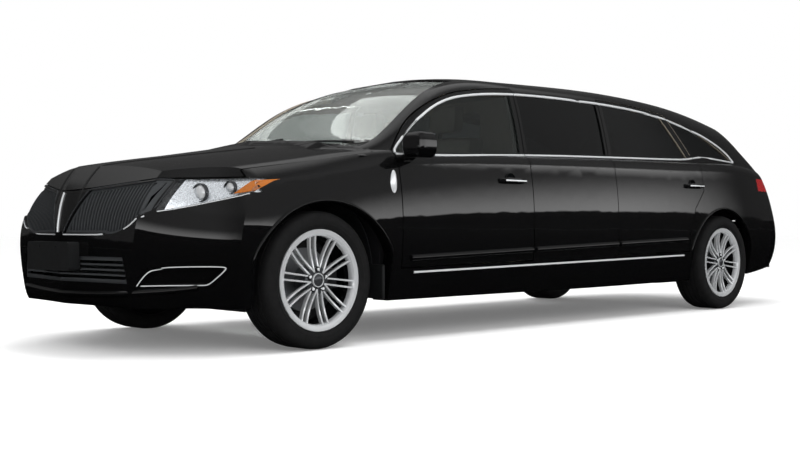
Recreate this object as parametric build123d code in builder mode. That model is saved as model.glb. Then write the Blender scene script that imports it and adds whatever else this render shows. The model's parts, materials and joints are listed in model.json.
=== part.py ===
from build123d import *
from math import atan2, cos, degrees, radians, sin
import os

os.makedirs("parts", exist_ok=True)

# ---------------------------------------------------------------- driving dimensions (mm)
wheelbase = 4165            # front axle to rear axle
front_overhang = 1016       # nose to front axle
rear_overhang = 1262        # rear axle to tail
body_half_width = 968       # centre plane to the waist of the doors
roof_height = 1712          # ground to the crown of the roof
belt_height = 1130          # ground to the bottom of the side windows
waist_height = 660          # ground to the widest line of the body
sill_height = 235           # ground to the underside of the sills
floor_height = 360          # ground to the top of the floor pan
wall = 60                   # thickness of doors and lower walls
frame_wall = 42             # thickness of roof, pillars and window frames

overall_length = wheelbase + front_overhang + rear_overhang
front_axle_x = overall_length / 2 - front_overhang
rear_axle_x = front_axle_x - wheelbase


def station(axle, behind):
    """x of a place given as a distance behind the front or the rear axle"""
    return (front_axle_x if axle == "front" else rear_axle_x) - behind


def bow(start, end, rise):
    """arc between two points whose middle stands out by rise, to the right of travel"""
    a, b = Vector(*start), Vector(*end)
    middle, along = (a + b) / 2, (b - a).normalized()
    top = middle + Vector(along.Y, -along.X) * rise
    return ThreePointArc(start, (top.X, top.Y), end)


# Lower body sections.  Heights count from the sill, the waist or the belt, widths inwards
# from body_half_width.
# axle, behind, sill up, sill in, waist in, shoulder down, shoulder in, edge down, edge in, crown up
body_sections = [
    ("front", -1100, 15, 168, 108, 330, 168, 270, 368, -215),
    ("front", -750, 5, 108, 48, 290, 98, 210, 308, -135),
    ("front", -350, 0, 68, 18, 250, 68, 150, 248, -70),
    ("front", 0, 0, 53, 3, 200, 48, 100, 208, -15),
    ("front", 450, 0, 48, 0, 150, 38, 45, 128, 45),
    ("front", 1200, 0, 43, 0, 110, 33, 30, 83, 70),
    ("rear", -1365, 0, 43, 0, 80, 33, 0, 83, 70),
    ("rear", -465, 5, 43, 2, 70, 38, -15, 88, 70),
    ("rear", 0, 5, 48, 6, 60, 46, -25, 98, 70),
    ("rear", 535, 35, 68, 23, 70, 73, -20, 138, 70),
    ("rear", 935, 85, 98, 58, 100, 118, 30, 198, 30),
    ("rear", 1335, 145, 128, 88, 130, 168, 80, 268, -30),
]
# Greenhouse sections.  Heights count down from the roof, widths inwards from body_half_width.
# axle, behind, belt in, rail down, rail in, roof edge down, roof edge in, crown down
roof_sections = [
    ("front", -200, 98, 640, 178, 620, 298, 600),
    ("front", 250, 88, 622, 168, 582, 268, 542),
    ("front", 700, 83, 542, 123, 472, 228, 392),
    ("front", 1050, 78, 312, 163, 242, 278, 168),
    ("front", 1400, 76, 204, 183, 132, 318, 76),
    ("front", 1900, 75, 180, 188, 104, 338, 34),
    ("front", 2600, 75, 174, 188, 90, 348, 6),
    ("rear", -865, 78, 204, 186, 92, 348, 0),
    ("rear", -265, 88, 267, 193, 127, 358, 37),
    ("rear", 335, 108, 352, 218, 212, 368, 112),
    ("rear", 935, 148, 462, 268, 332, 408, 242),
    ("rear", 1350, 198, 542, 328, 442, 458, 372),
]
# Nose and tail in plan, level by level.
# height, nose centre, nose shoulder, its half width, nose side, tail centre, tail shoulder, its
# half width, tail side: places forward of the front axle and behind the rear axle
end_levels = [
    (200, 930, 860, 550, 380, 1050, 1000, 600, 700),
    (330, 1000, 925, 580, 450, 1190, 1150, 620, 860),
    (580, 1016, 930, 620, 480, 1262, 1190, 620, 930),
    (720, 1005, 900, 620, 450, 1225, 1150, 620, 900),
    (880, 955, 800, 600, 330, 1150, 1090, 620, 850),
    (1020, 845, 670, 600, 170, 1100, 1030, 600, 780),
    (1250, 560, 380, 600, -100, 1000, 930, 600, 680),
]
# Windscreen and rear screen in plan, level by level.
# height, screen centre, shoulder, side behind the front axle, then the rear ones behind the rear axle
screen_levels = [
    (1000, -130, 0, 270, 1040, 980, 820),
    (1150, 180, 290, 520, 980, 920, 760),
    (1300, 480, 575, 790, 770, 710, 560),
    (1460, 830, 910, 1100, 540, 480, 340),
    (1570, 1150, 1210, 1360, 380, 320, 180),
    (1650, 1480, 1530, 1660, 270, 210, 80),
    (1780, 2150, 2200, 2300, 60, 0, -120),
]
screen_shoulder = 600
beyond = 1000               # half width at which the end outlines run past the body


def body_section(row, inset):
    axle, behind, sill_up, sill_in, waist_in, sh_down, sh_in, edge_down, edge_in, crown_up = row
    sill = (body_half_width - sill_in - inset, floor_height if inset else sill_height + sill_up)
    waist = (body_half_width - waist_in - inset, waist_height)
    shoulder = (body_half_width - sh_in - inset, belt_height - sh_down - inset / 3)
    edge = (body_half_width - edge_in - inset * 0.8, belt_height - edge_down - inset)
    crown = (0, belt_height + crown_up - inset)
    with BuildSketch(Plane.YZ.offset(station(axle, behind))) as sketch:
        with BuildLine():
            half = [bow(sill, waist, 12), bow(waist, shoulder, 9), bow(shoulder, edge, 16)]
            ThreePointArc(edge, crown, (-edge[0], edge[1]))
            for arc in half:
                add(mirror(arc, about=Plane.YZ, mode=Mode.PRIVATE))
            Line((-sill[0], sill[1]), sill)
        make_face()
    return sketch.sketch


def roof_section(row, inset):
    axle, behind, belt_in, rail_down, rail_in, edge_down, edge_in, crown_down = row
    foot_z = belt_height - 80 - 2 * inset
    foot = (body_half_width - belt_in - inset, foot_z)
    rail = (body_half_width - rail_in - inset, roof_height - rail_down - inset / 3)
    edge = (body_half_width - edge_in - inset / 2, roof_height - edge_down - inset)
    crown = (0, roof_height - crown_down - inset)
    with BuildSketch(Plane.YZ.offset(station(axle, behind))) as sketch:
        with BuildLine():
            half = [bow(foot, rail, 0.025 * (rail[1] - foot_z)), bow(rail, edge, 16)]
            ThreePointArc(edge, crown, (-edge[0], edge[1]))
            for arc in half:
                add(mirror(arc, about=Plane.YZ, mode=Mode.PRIVATE))
            Line((-foot[0], foot_z), foot)
        make_face()
    return sketch.sketch


def end_outline(height, nose, tail, inset):
    """closed plan outline: nose and tail are (centre x, shoulder x, shoulder y, side x)"""
    with BuildSketch(Plane.XY.offset(height)) as sketch:
        with BuildLine():
            for (centre, shoulder, width, side), way in ((nose, 1), (tail, -1)):
                tip = (centre - way * inset, 0)
                corner = (shoulder - way * inset, width)
                edge = (side - way * inset, beyond)
                half = [bow(edge, corner, 75 * way), bow(corner, tip, 8 * way)]
                for arc in half:
                    add(mirror(arc, about=Plane.XZ, mode=Mode.PRIVATE))
            Line((nose[3] - inset, beyond), (tail[3] + inset, beyond))
            Line((nose[3] - inset, -beyond), (tail[3] + inset, -beyond))
        make_face()
    return sketch.sketch


def end_form(levels, inset):
    """block between a front and a rear surface given level by level"""
    with BuildPart() as form:
        loft([end_outline(height, nose, tail, inset) for height, nose, tail in levels])
    return form.part


def lower_form(inset=0):
    """the body up to the belt, set inwards by inset"""
    levels = [
        (
            z,
            (front_axle_x + n0, front_axle_x + n1, ny, front_axle_x + n2),
            (rear_axle_x - t0, rear_axle_x - t1, ty, rear_axle_x - t2),
        )
        for z, n0, n1, ny, n2, t0, t1, ty, t2 in end_levels
    ]
    ends = end_form(levels, inset)
    with BuildPart() as form:
        loft([body_section(row, inset) for row in body_sections])
        add(ends, mode=Mode.INTERSECT)
    return form.part


def upper_form(inset=0):
    """roof, pillars and glass above the belt, set inwards by inset"""
    levels = [
        (
            z,
            (front_axle_x - n0, front_axle_x - n1, screen_shoulder, front_axle_x - n2),
            (rear_axle_x - t0, rear_axle_x - t1, screen_shoulder, rear_axle_x - t2),
        )
        for z, n0, n1, n2, t0, t1, t2 in screen_levels
    ]
    ends = end_form(levels, inset * 1.6)
    with BuildPart() as form:
        loft([roof_section(row, inset) for row in roof_sections])
        add(ends, mode=Mode.INTERSECT)
    return form.part


# ---------------------------------------------------------------- panels: shared values
shut_gap = 7                # around doors, hood and tailgate
glass_thickness = 5
glass_inset = 8             # outer skin to the face of the glass
glass_gap = 0.3             # glass edge to its frame
grille_inset = 12           # nose skin to the face of the grille
hood_thickness = 34
side_near = 690             # cutting blocks of the left side reach from here
side_far = 1300             # to here

arch_half_width = 465
arch_top = 785
arch_shoulder = 500         # height from which the arch falls straight down
arch_behind = 45            # middle of the front arch behind the axle
rear_arch_behind = -10

door_front_t = 590          # front edge of the front door behind the front axle
door_split_t = 1765         # front door to filler panel
rear_door_t = -1465         # filler panel to rear door, behind the rear axle
sill_line_rise = 0.0154     # slope of the door bottoms and the side trims
sill_line_height = 418      # door bottom at the front edge of the front door
door_top = 1553


def front(t, z):
    """side view point: t behind the front axle"""
    return (front_axle_x - t, z)


def rear(t, z):
    """side view point: t behind the rear axle"""
    return (rear_axle_x - t, z)


def sill_line(x, above=0):
    """height of the door bottoms at x"""
    return sill_line_height + above + (front_axle_x - door_front_t - x) * sill_line_rise


def side_block(edge, grow=0, near=side_near, far=side_far):
    """block through the left wall, inside an edge drawn in side view"""
    with BuildPart() as block:
        with BuildSketch(Plane.XZ.offset(-near)):
            with BuildLine():
                edge()
            make_face()
            if grow:
                offset(amount=grow, kind=Kind.INTERSECTION)
        extrude(amount=near - far)
    return block.part


def front_block(edge, grow=0, start=front_axle_x + 200, end=front_axle_x + 1200):
    """block through the nose, inside an edge drawn in front view"""
    with BuildPart() as block:
        with BuildSketch(Plane.YZ.offset(start)):
            with BuildLine():
                edge()
            make_face()
            if grow:
                offset(amount=grow, kind=Kind.INTERSECTION)
        extrude(amount=end - start)
    return block.part


def plan_block(edge, grow=0, low=150, high=1900):
    """block inside an edge drawn from above"""
    with BuildPart() as block:
        with BuildSketch(Plane.XY.offset(low)):
            with BuildLine():
                edge()
            make_face()
            if grow:
                offset(amount=grow, kind=Kind.INTERSECTION)
        extrude(amount=high - low)
    return block.part


def common(body, *blocks):
    """what lies in the body and in every block"""
    with BuildPart() as piece:
        add(body)
        for block in blocks:
            add(block, mode=Mode.INTERSECT)
    return piece.part


def without(body, *blocks):
    """the body with the blocks cut out"""
    with BuildPart() as piece:
        add(body)
        add(blocks, mode=Mode.SUBTRACT)
    return piece.part


def other_side(piece):
    return mirror(piece, about=Plane.XZ)


def both_sides(piece):
    return [piece, other_side(piece)]


def box_at(x0, x1, y0, y1, z0, z1):
    """box between two corners"""
    with BuildPart() as block:
        with BuildSketch(Plane.XY.offset(z0)):
            with Locations(((x0 + x1) / 2, (y0 + y1) / 2)):
                Rectangle(abs(x1 - x0), abs(y1 - y0))
        extrude(amount=z1 - z0)
    return block.part


def save(piece, name):
    piece.label = name
    export_step(piece, f"parts/{name}.step")


def save_pair(piece, name):
    """a left piece and its mirror image on the right"""
    save(piece, f"{name}_left")
    save(other_side(piece), f"{name}_right")


# ---------------------------------------------------------------- edges in side view
def arch_edge(middle):
    """wheel arch: a flat arc on two straight legs"""
    def edge():
        low = 100
        left, right = middle - arch_half_width, middle + arch_half_width
        Polyline((left, arch_shoulder), (left, low), (right, low), (right, arch_shoulder))
        ThreePointArc((right, arch_shoulder), (middle, arch_top), (left, arch_shoulder))
    return edge


def front_door_edge():
    foot_x = front_axle_x - door_front_t
    top_x = front_axle_x - door_split_t
    foot = (foot_x, sill_line(foot_x))
    corner = front(590, 1085)
    rail = front(1250, 1492)
    Polyline(corner, foot, (top_x, sill_line(top_x)), (top_x, door_top))
    ThreePointArc((top_x, door_top), front(1510, 1530), rail)
    ThreePointArc(rail, front(880, 1345), corner)


def filler_edge():
    near_x = front_axle_x - door_split_t - shut_gap / 2
    far_x = rear_axle_x - rear_door_t + shut_gap / 2
    Polyline(
        (near_x, sill_line(near_x)), (far_x, sill_line(far_x)), (far_x, door_top),
        (near_x, door_top), (near_x, sill_line(near_x)),
    )


def rear_door_edge():
    near_x = rear_axle_x - rear_door_t
    heel_x = rear_axle_x + 520
    rail = rear(-600, 1508)
    Polyline(
        rail, rear(-295, 1150), rear(-295, 930), rear(-440, 790), rear(-520, 600),
        (heel_x, sill_line(heel_x)), (near_x, sill_line(near_x)), (near_x, door_top),
    )
    ThreePointArc((near_x, door_top), rear(-1000, 1542), rail)


def window_edge(start, end):
    """strip of the window line between two slanted posts, each (bottom x, top x)"""
    def edge():
        Polyline((start[0], 900), (end[0], 900), (end[1], 1700), (start[1], 1700), (start[0], 900))
    return edge


def window_line_edge():
    """outline of all the side windows together"""
    nose_corner = front(618, 1085)
    rail_front = front(1260, 1456)
    rail_rear = rear(-965, 1500)
    tip = rear(355, 1192)
    kick = rear(-265, 1198)
    low_rear = rear(-465, 1172)
    middle_x = (rail_front[0] + rail_rear[0]) / 2
    ThreePointArc(nose_corner, ((nose_corner[0] + low_rear[0]) / 2, 1128), low_rear)
    Polyline(low_rear, kick, tip)
    ThreePointArc(tip, rear(-20, 1352), rail_rear)
    ThreePointArc(rail_rear, (middle_x, 1526), rail_front)
    ThreePointArc(rail_front, front(885, 1308), nose_corner)


# ---------------------------------------------------------------- edges in front view (y, z)
def grille_edge():
    """left half of the split grille"""
    inner_low, inner_top = (48, 622), (180, 842)
    outer_top, outer_low = (628, 889), (634, 733)
    Polyline(outer_low, outer_top, inner_top, inner_low, (350, 622))
    ThreePointArc((350, 622), (545, 652), outer_low)


def lamp_edge():
    """left headlamp"""
    inner_low, inner_top = (641, 733), (636, 893)
    outer_top, outer_low = (886, 902), (918, 828)
    Polyline(inner_low, inner_top, outer_top, outer_low)
    ThreePointArc(outer_low, (790, 790), inner_low)


def fog_edge():
    """left fog lamp recess"""
    Polyline((600, 362), (637, 444), (860, 448), (777, 362), (600, 362))


def intake_edge():
    """lower air intake, both sides of the middle"""
    Polyline((-560, 368), (560, 368), (530, 500), (-530, 500), (-560, 368))


def hood_front_edge():
    """everything above the leading edge of the hood"""
    half = [(0, 838), (182, 850), (632, 896), (900, 908), (1200, 908), (1200, 1500)]
    Polyline(*half, *[(-y, z) for y, z in reversed(half)])


# ---------------------------------------------------------------- edges from above
hood_step_t = -400          # where the hood edge leaves the top of the lamp
hood_rear_t = 120           # middle of the rear edge behind the front axle
hood_corner = (475, 862)    # rear corner: behind the front axle, half width
hood_waist = (90, 838)      # where the side edge turns in towards the lamp
cowl_corner = (565, 868)


def hood_edge():
    nose_x = front_axle_x + 1300
    step_x = front_axle_x - hood_step_t
    corner = (front_axle_x - hood_corner[0], hood_corner[1])
    waist = (front_axle_x - hood_waist[0], hood_waist[1])
    half = [corner, waist, (step_x, 790), (step_x, 1100), (nose_x, 1100)]
    Polyline(*half, *[(x, -y) for x, y in reversed(half)])
    ThreePointArc((corner[0], -corner[1]), (front_axle_x - hood_rear_t, 0), corner)


def between_fenders_edge():
    """hood, cowl and windscreen foot, inboard of the fenders"""
    edge = ((600, 871), cowl_corner, hood_corner, hood_waist, (-150, 814))
    half = [(front_axle_x - t, y) for t, y in edge]
    Polyline(*half, *[(x, -y) for x, y in reversed(half)], half[0])


def cowl_edge():
    """from the hood to the foot of the windscreen"""
    half = [(front_axle_x - t, y) for t, y in (cowl_corner, hood_corner, hood_waist)]
    Polyline(*half, *[(x, -y) for x, y in reversed(half)])
    corner = half[0]
    ThreePointArc((corner[0], -corner[1]), (front_axle_x - 215, 0), corner)


def screen_edge():
    """windscreen opening"""
    low_x, high_x = front_axle_x - 530, front_axle_x - 1400
    ThreePointArc((low_x, -745), (front_axle_x - 235, 0), (low_x, 745))
    Line((low_x, 745), (high_x, 600))
    ThreePointArc((high_x, 600), (front_axle_x - 1345, 0), (high_x, -600))
    Line((high_x, -600), (low_x, -745))


# ---------------------------------------------------------------- the hollow body
outer_forms = [lower_form(), upper_form()]
inner_forms = [lower_form(wall), upper_form(frame_wall)]
hood_hollow = lower_form(hood_thickness)
trim_seat = lower_form(-glass_gap)
glass_skin = without(upper_form(glass_inset), upper_form(glass_inset + glass_thickness))
grille_skin = without(lower_form(grille_inset), hood_hollow)

with BuildPart() as outer_body:
    add(outer_forms)

with BuildPart() as cabin_hollow:
    add(inner_forms)

floor_half_width = 800
underside = box_at(
    rear_axle_x - 1050, front_axle_x + 480, -floor_half_width, floor_half_width, 0, floor_height
)
front_arch = side_block(arch_edge(front_axle_x - arch_behind), near=400)
rear_arch = side_block(arch_edge(rear_axle_x - rear_arch_behind), near=400)
with BuildPart() as hollow_body:
    add(outer_body.part)
    add(
        [cabin_hollow.part, underside, *both_sides(front_arch), *both_sides(rear_arch)],
        mode=Mode.SUBTRACT,
    )
wall_body = hollow_body.part

half_gap = shut_gap / 2
sill_x = front_axle_x - door_front_t
fender_rear_x = sill_x + half_gap
seam_x = front_axle_x + 395     # front bumper to front fender
front_door_block = side_block(front_door_edge, -half_gap)
front_door_hole = side_block(front_door_edge, half_gap, near=side_near - shut_gap)
filler_block = side_block(filler_edge)
rear_door_block = side_block(rear_door_edge, -half_gap)
rear_door_hole = side_block(rear_door_edge, half_gap, near=side_near - shut_gap)
window_block = side_block(window_line_edge)
hood_hole = common(plan_block(hood_edge), front_block(hood_front_edge, 0, front_axle_x - 600))
hood_block = common(
    plan_block(hood_edge, -shut_gap), front_block(hood_front_edge, -shut_gap, front_axle_x - 600)
)
cowl_block = plan_block(cowl_edge, low=900)
fender_block = without(
    box_at(fender_rear_x, seam_x, 500, 1100, sill_line(sill_x), 1200),
    plan_block(between_fenders_edge), hood_hole,
)
screen_block = plan_block(screen_edge, low=1050)
lamp_block = front_block(lamp_edge)
grille_block = front_block(grille_edge)

# ---------------------------------------------------------------- doors and side windows
post_half = 42              # window edge to the shut line of its door
windows = {
    "front_door": window_edge(
        (front_axle_x - 500, front_axle_x - 500),
        (front_axle_x - door_split_t + post_half, front_axle_x - door_split_t + post_half),
    ),
    "filler": window_edge(
        (front_axle_x - door_split_t - 30, front_axle_x - door_split_t - 30),
        (rear_axle_x - rear_door_t + 30, rear_axle_x - rear_door_t + 30),
    ),
    "rear_door": window_edge(
        (rear_axle_x - rear_door_t - post_half, rear_axle_x - rear_door_t - post_half),
        (rear_axle_x + 145, rear_axle_x + 865),
    ),
    "quarter": window_edge(
        (rear_axle_x + 35, rear_axle_x + 755),
        (rear_axle_x - 500, rear_axle_x - 500),
    ),
}
window_holes = {name: common(window_block, side_block(edge)) for name, edge in windows.items()}

boss_gap = 0.5              # hinge boss to the piece that it carries
boss_heights = (580, 880)
boss_face = 938             # the bosses lie behind the skin


def hinge_bosses(end_x):
    """hinge bosses that stand from the end of a fixed panel towards the door behind it"""
    return [
        common(wall_body, box_at(end_x - shut_gap + boss_gap, end_x + 1, 700, boss_face, z - 30, z + 30))
        for z in boss_heights
    ]


with BuildPart() as front_door:
    add(wall_body)
    add(front_door_block, mode=Mode.INTERSECT)
    add(window_holes["front_door"], mode=Mode.SUBTRACT)
save_pair(front_door.part, "front_door")

with BuildPart() as rear_door:
    add(wall_body)
    add(rear_door_block, mode=Mode.INTERSECT)
    add(window_holes["rear_door"], mode=Mode.SUBTRACT)
save_pair(rear_door.part, "rear_door")

filler_bosses = hinge_bosses(rear_axle_x - rear_door_t + half_gap)
with BuildPart() as filler_panel:
    add(wall_body)
    add(filler_block, mode=Mode.INTERSECT)
    add(window_holes["filler"], mode=Mode.SUBTRACT)
    add(filler_bosses)
save_pair(filler_panel.part, "filler_panel")

for name in ("front_door", "rear_door", "filler"):
    with BuildPart() as pane:
        add(glass_skin)
        add(window_holes[name], mode=Mode.INTERSECT)
    save_pair(pane.part, f"{name}_glass")

quarter_pane = common(glass_skin, window_holes["quarter"])
with BuildPart() as quarter_glass:
    add(both_sides(quarter_pane))
save(quarter_glass.part, "quarter_glass")

# ---------------------------------------------------------------- tailgate
gate_front = rear_axle_x - 420
gate_half_width, gate_lower_half_width = 590, 650
gate_bottom, gate_step = 700, 1085
tail_x = rear_axle_x - 1400


def gate_edge():
    half = [
        (gate_lower_half_width, gate_bottom), (gate_lower_half_width, gate_step),
        (gate_half_width, gate_step + 20), (gate_half_width, 1800),
    ]
    Polyline(*half, *[(-y, z) for y, z in reversed(half)], half[0])


def gate_window_edge():
    Polyline((-525, 1175), (525, 1175), (470, 1452), (-470, 1452), (-525, 1175))


def rear_lamp_edge():
    Polyline((-1100, 948), (1100, 948), (1100, 1050), (-1100, 1050), (-1100, 948))


gate_hole = front_block(gate_edge, 0, tail_x, gate_front + shut_gap)
gate_block = front_block(gate_edge, -shut_gap, tail_x, gate_front)
gate_window = front_block(gate_window_edge, 0, tail_x, gate_front - 60)
lamp_band = without(
    front_block(rear_lamp_edge, 0, tail_x, rear_axle_x - 640), hood_hollow, upper_form(hood_thickness)
)

with BuildPart() as tailgate:
    add(wall_body)
    add(gate_block, mode=Mode.INTERSECT)
    add([gate_window, lamp_band], mode=Mode.SUBTRACT)
save(tailgate.part, "tailgate")

with BuildPart() as tailgate_glass:
    add(glass_skin)
    add(gate_window, mode=Mode.INTERSECT)
save(tailgate_glass.part, "tailgate_glass")

with BuildPart() as tailgate_lamps:
    add(wall_body)
    add(lamp_band, mode=Mode.INTERSECT)
    add(gate_block, mode=Mode.INTERSECT)
save(tailgate_lamps.part, "tailgate_lamps")

with BuildPart() as corner_lamps:
    add(wall_body)
    add(lamp_band, mode=Mode.INTERSECT)
    add(gate_hole, mode=Mode.SUBTRACT)
save(corner_lamps.part, "corner_lamps")

# ---------------------------------------------------------------- bumpers, fenders, hood
nose_block = box_at(seam_x, front_axle_x + 1100, -1100, 1100, 100, 1000)
fog_block = without(front_block(fog_edge, 0, seam_x + 60), hood_hollow)
intake_block = front_block(intake_edge)
plate_middle_y, plate_width = -50, 460
plate_bottom, plate_height = 424, 150
plate_front_x = front_axle_x + front_overhang + 32
bolt_spacing, bolt_radius = 177.8, 4
bolt_height = plate_bottom + plate_height / 2 + 50
bolt_room = 2
bolt_reach = 140
bolt_places = [(plate_middle_y + side * bolt_spacing / 2, bolt_height) for side in (-1, 1)]
with BuildPart() as bolt_bores:
    with BuildSketch(Plane.YZ.offset(plate_front_x)):
        with Locations(*bolt_places):
            Circle(bolt_radius + bolt_room)
    extrude(amount=-bolt_reach)

with BuildPart() as front_bumper:
    add(wall_body)
    add(nose_block, mode=Mode.INTERSECT)
    add([hood_hole, intake_block, bolt_bores.part], mode=Mode.SUBTRACT)
    add([*both_sides(lamp_block), *both_sides(grille_block), *both_sides(fog_block)], mode=Mode.SUBTRACT)
save(front_bumper.part, "front_bumper")

fender_bosses = hinge_bosses(fender_rear_x)
with BuildPart() as front_fender:
    add(wall_body)
    add(fender_block, mode=Mode.INTERSECT)
    add(lamp_block, mode=Mode.SUBTRACT)
    add(fender_bosses)
save_pair(front_fender.part, "front_fender")

lens_block = front_block(lamp_edge, -glass_gap)
with BuildPart() as headlamp:
    add(wall_body)
    add(lens_block, mode=Mode.INTERSECT)
save_pair(headlamp.part, "headlamp")

with BuildPart() as hood:
    add(wall_body)
    add(hood_block, mode=Mode.INTERSECT)
    add(hood_hollow, mode=Mode.SUBTRACT)
save(hood.part, "hood")

hood_boss = common(
    wall_body,
    without(plan_block(hood_edge), plan_block(hood_edge, boss_gap - shut_gap)),
    box_at(front_axle_x - 600, front_axle_x, 690, 770, 900, 1100),
)
with BuildPart() as cowl:
    add(wall_body)
    add(cowl_block, mode=Mode.INTERSECT)
    add(hood_hole, mode=Mode.SUBTRACT)
    add(both_sides(hood_boss))
save(cowl.part, "cowl")


def rear_bumper_edge():
    Polyline(rear(430, 100), rear(1500, 100), rear(1500, gate_bottom), rear(700, gate_bottom),
             rear(430, 560), rear(430, 100))


bumper_block = side_block(rear_bumper_edge, near=-side_far)
with BuildPart() as rear_bumper:
    add(wall_body)
    add(bumper_block, mode=Mode.INTERSECT)
save(rear_bumper.part, "rear_bumper")

with BuildPart() as windscreen:
    add(glass_skin)
    add(screen_block, mode=Mode.INTERSECT)
save(windscreen.part, "windscreen")

# ---------------------------------------------------------------- body shell
shell_block = box_at(tail_x, seam_x, -1100, 1100, 0, 1900)
roof_bosses = [
    common(wall_body, box_at(gate_front + boss_gap, gate_front + shut_gap + 1, y - 35, y + 35, 1400, 1800))
    for y in (-300, 300)
]
side_holes = [fender_block, front_door_hole, filler_block, rear_door_hole, window_holes["quarter"]]
with BuildPart() as body_shell:
    add(wall_body)
    add(shell_block, mode=Mode.INTERSECT)
    add(
        [hood_hole, cowl_block, screen_block, gate_hole, lamp_band, bumper_block,
         *side_holes, *[other_side(hole) for hole in side_holes]],
        mode=Mode.SUBTRACT,
    )
    add(roof_bosses)
save(body_shell.part, "body_shell")

# ---------------------------------------------------------------- grille
bar_pitch, bar_width, grille_rim = 23, 7, 12
slat_pitch, slat_height = 26, 9


def barred_block(edge, rim, bars):
    """rim and bars of a grille drawn in front view, pushed through the nose"""
    with BuildSketch() as outline:
        with BuildLine():
            edge()
        make_face()
    with BuildSketch() as lattice:
        bars()
        add(outline.sketch, mode=Mode.INTERSECT)
    with BuildPart() as block:
        with BuildSketch(Plane.YZ.offset(front_axle_x + 500)):
            add(outline.sketch)
            offset(amount=-rim, kind=Kind.INTERSECTION, mode=Mode.SUBTRACT)
            add(lattice.sketch)
        extrude(amount=700)
    return block.part


def upright_bars():
    for column in range(27):
        with Locations((55 + column * bar_pitch, 750)):
            Rectangle(bar_width, 400)


def level_slats():
    for row in range(5):
        with Locations((0, 382 + row * slat_pitch)):
            Rectangle(1200, slat_height)


grille_half = common(grille_skin, barred_block(grille_edge, grille_rim, upright_bars))
intake_grille = common(grille_skin, barred_block(intake_edge, grille_rim, level_slats))
with BuildPart() as grille:
    add([*both_sides(grille_half), intake_grille])
save(grille.part, "grille")

# ---------------------------------------------------------------- plate bracket and mirrors
with BuildPart() as plate_bracket:
    with BuildSketch(Plane.YZ.offset(plate_front_x)):
        with Locations((plate_middle_y, plate_bottom + plate_height / 2)):
            RectangleRounded(plate_width, plate_height, 14)
        with Locations(*bolt_places):
            Circle(bolt_radius, mode=Mode.SUBTRACT)
    extrude(amount=-120)
    add(trim_seat, mode=Mode.SUBTRACT)
save(plate_bracket.part, "plate_bracket")

mirror_front_x = front_axle_x - 604
mirror_middle = (1012, 1118)
with BuildPart() as door_mirror:
    with BuildSketch(Plane.YZ.offset(mirror_front_x)):
        with Locations(mirror_middle):
            RectangleRounded(176, 146, 52)
    extrude(amount=-122)
    fillet(door_mirror.faces().sort_by(Axis.X)[-1].edges(), 38)
    with BuildSketch(Plane.YZ.offset(mirror_front_x - 40)):
        with BuildLine():
            Polyline((870, 1020), (870, 1064), (960, 1070), (960, 1048), (900, 1020), (870, 1020))
        make_face()
    extrude(amount=-60)
    add(trim_seat, mode=Mode.SUBTRACT)
save_pair(door_mirror.part, "door_mirror")

# ---------------------------------------------------------------- wheels
track = 1661
tyre_radius = 368.5
half_tyre = 127.5
rim_radius = 254            # bead seat
lip_radius = 273
half_rim = 112
hub_radius = 78
disc_radius = 172
disc_face, disc_thickness = -20, 25     # outer face of the disc from the wheel's middle plane
hub_end = -50
spoke_pairs = 10
spoke_width, spoke_spread, spoke_depth = 11, 34, 20
wheel_y = track / 2
fit = 0.3


def ring(steps):
    """ring about X: steps are (distance outwards from the wheel's middle plane, radius)"""
    with BuildPart() as body:
        with BuildSketch():
            with BuildLine():
                Polyline(*steps, steps[0])
            make_face()
        revolve(axis=Axis.X)
    return body.part


def on_axle(piece, x):
    """a wheel made about X, turned so that its outer side faces +Y, on its axle"""
    return Location((x, wheel_y, tyre_radius), (0, 0, 90)) * piece


bead = half_rim - 9
tyre_ring = ring([
    (-bead, rim_radius + fit), (bead, rim_radius + fit), (bead, lip_radius + 3),
    (half_tyre, rim_radius + 54), (half_tyre - 10, tyre_radius - 16), (half_tyre - 36, tyre_radius),
    (36 - half_tyre, tyre_radius), (10 - half_tyre, tyre_radius - 16), (-half_tyre, rim_radius + 54),
    (-bead, lip_radius + 3),
])
flange = half_rim - 8
barrel_ring = ring([
    (half_rim, lip_radius), (flange, lip_radius), (flange, rim_radius), (70, rim_radius - 2), (60, 228),
    (-40, 228), (-60, rim_radius - 2), (-flange, rim_radius), (-flange, lip_radius), (-half_rim, lip_radius),
    (-half_rim, rim_radius - 4), (8 - flange, rim_radius - 8), (-64, rim_radius - 10), (-46, 219),
    (64, 219), (74, rim_radius - 12), (flange - 6, rim_radius - 8), (half_rim, rim_radius - 3),
])
hub_ring = ring([
    (hub_end, 0), (hub_end, 62), (disc_face - disc_thickness, 62), (disc_face - disc_thickness, disc_radius),
    (disc_face, disc_radius), (disc_face, 70), (70, 70), (70, hub_radius), (92, hub_radius), (92, 34),
    (97, 30), (97, 0),
])
with BuildPart() as rim:
    add([barrel_ring, hub_ring])
    with BuildSketch(Plane.YZ.offset(74)):
        with PolarLocations(0, spoke_pairs):
            with Locations((150, spoke_spread / 2), (150, -spoke_spread / 2)):
                Rectangle(194, spoke_width)
    extrude(amount=spoke_depth)
    with BuildSketch(Plane.YZ.offset(92)):
        with PolarLocations(57, 5):
            Circle(17)
    extrude(amount=-16, mode=Mode.SUBTRACT)
    with BuildSketch(Plane.YZ.offset(76)):
        with PolarLocations(57, 5):
            RegularPolygon(11, 6)
    extrude(amount=14)

for end, axle_x in (("front", front_axle_x), ("rear", rear_axle_x)):
    for piece, label in ((tyre_ring, "tyre"), (rim.part, "rim")):
        wheel = on_axle(piece, axle_x)
        save_pair(wheel, f"{label}_{end}")

knuckle_face = wheel_y + hub_end - boss_gap
knuckle_back = 705
caliper_back = 740
caliper_front = wheel_y + disc_face + 26
caliper_reach = 205
knuckle_half_height = 143


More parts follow.
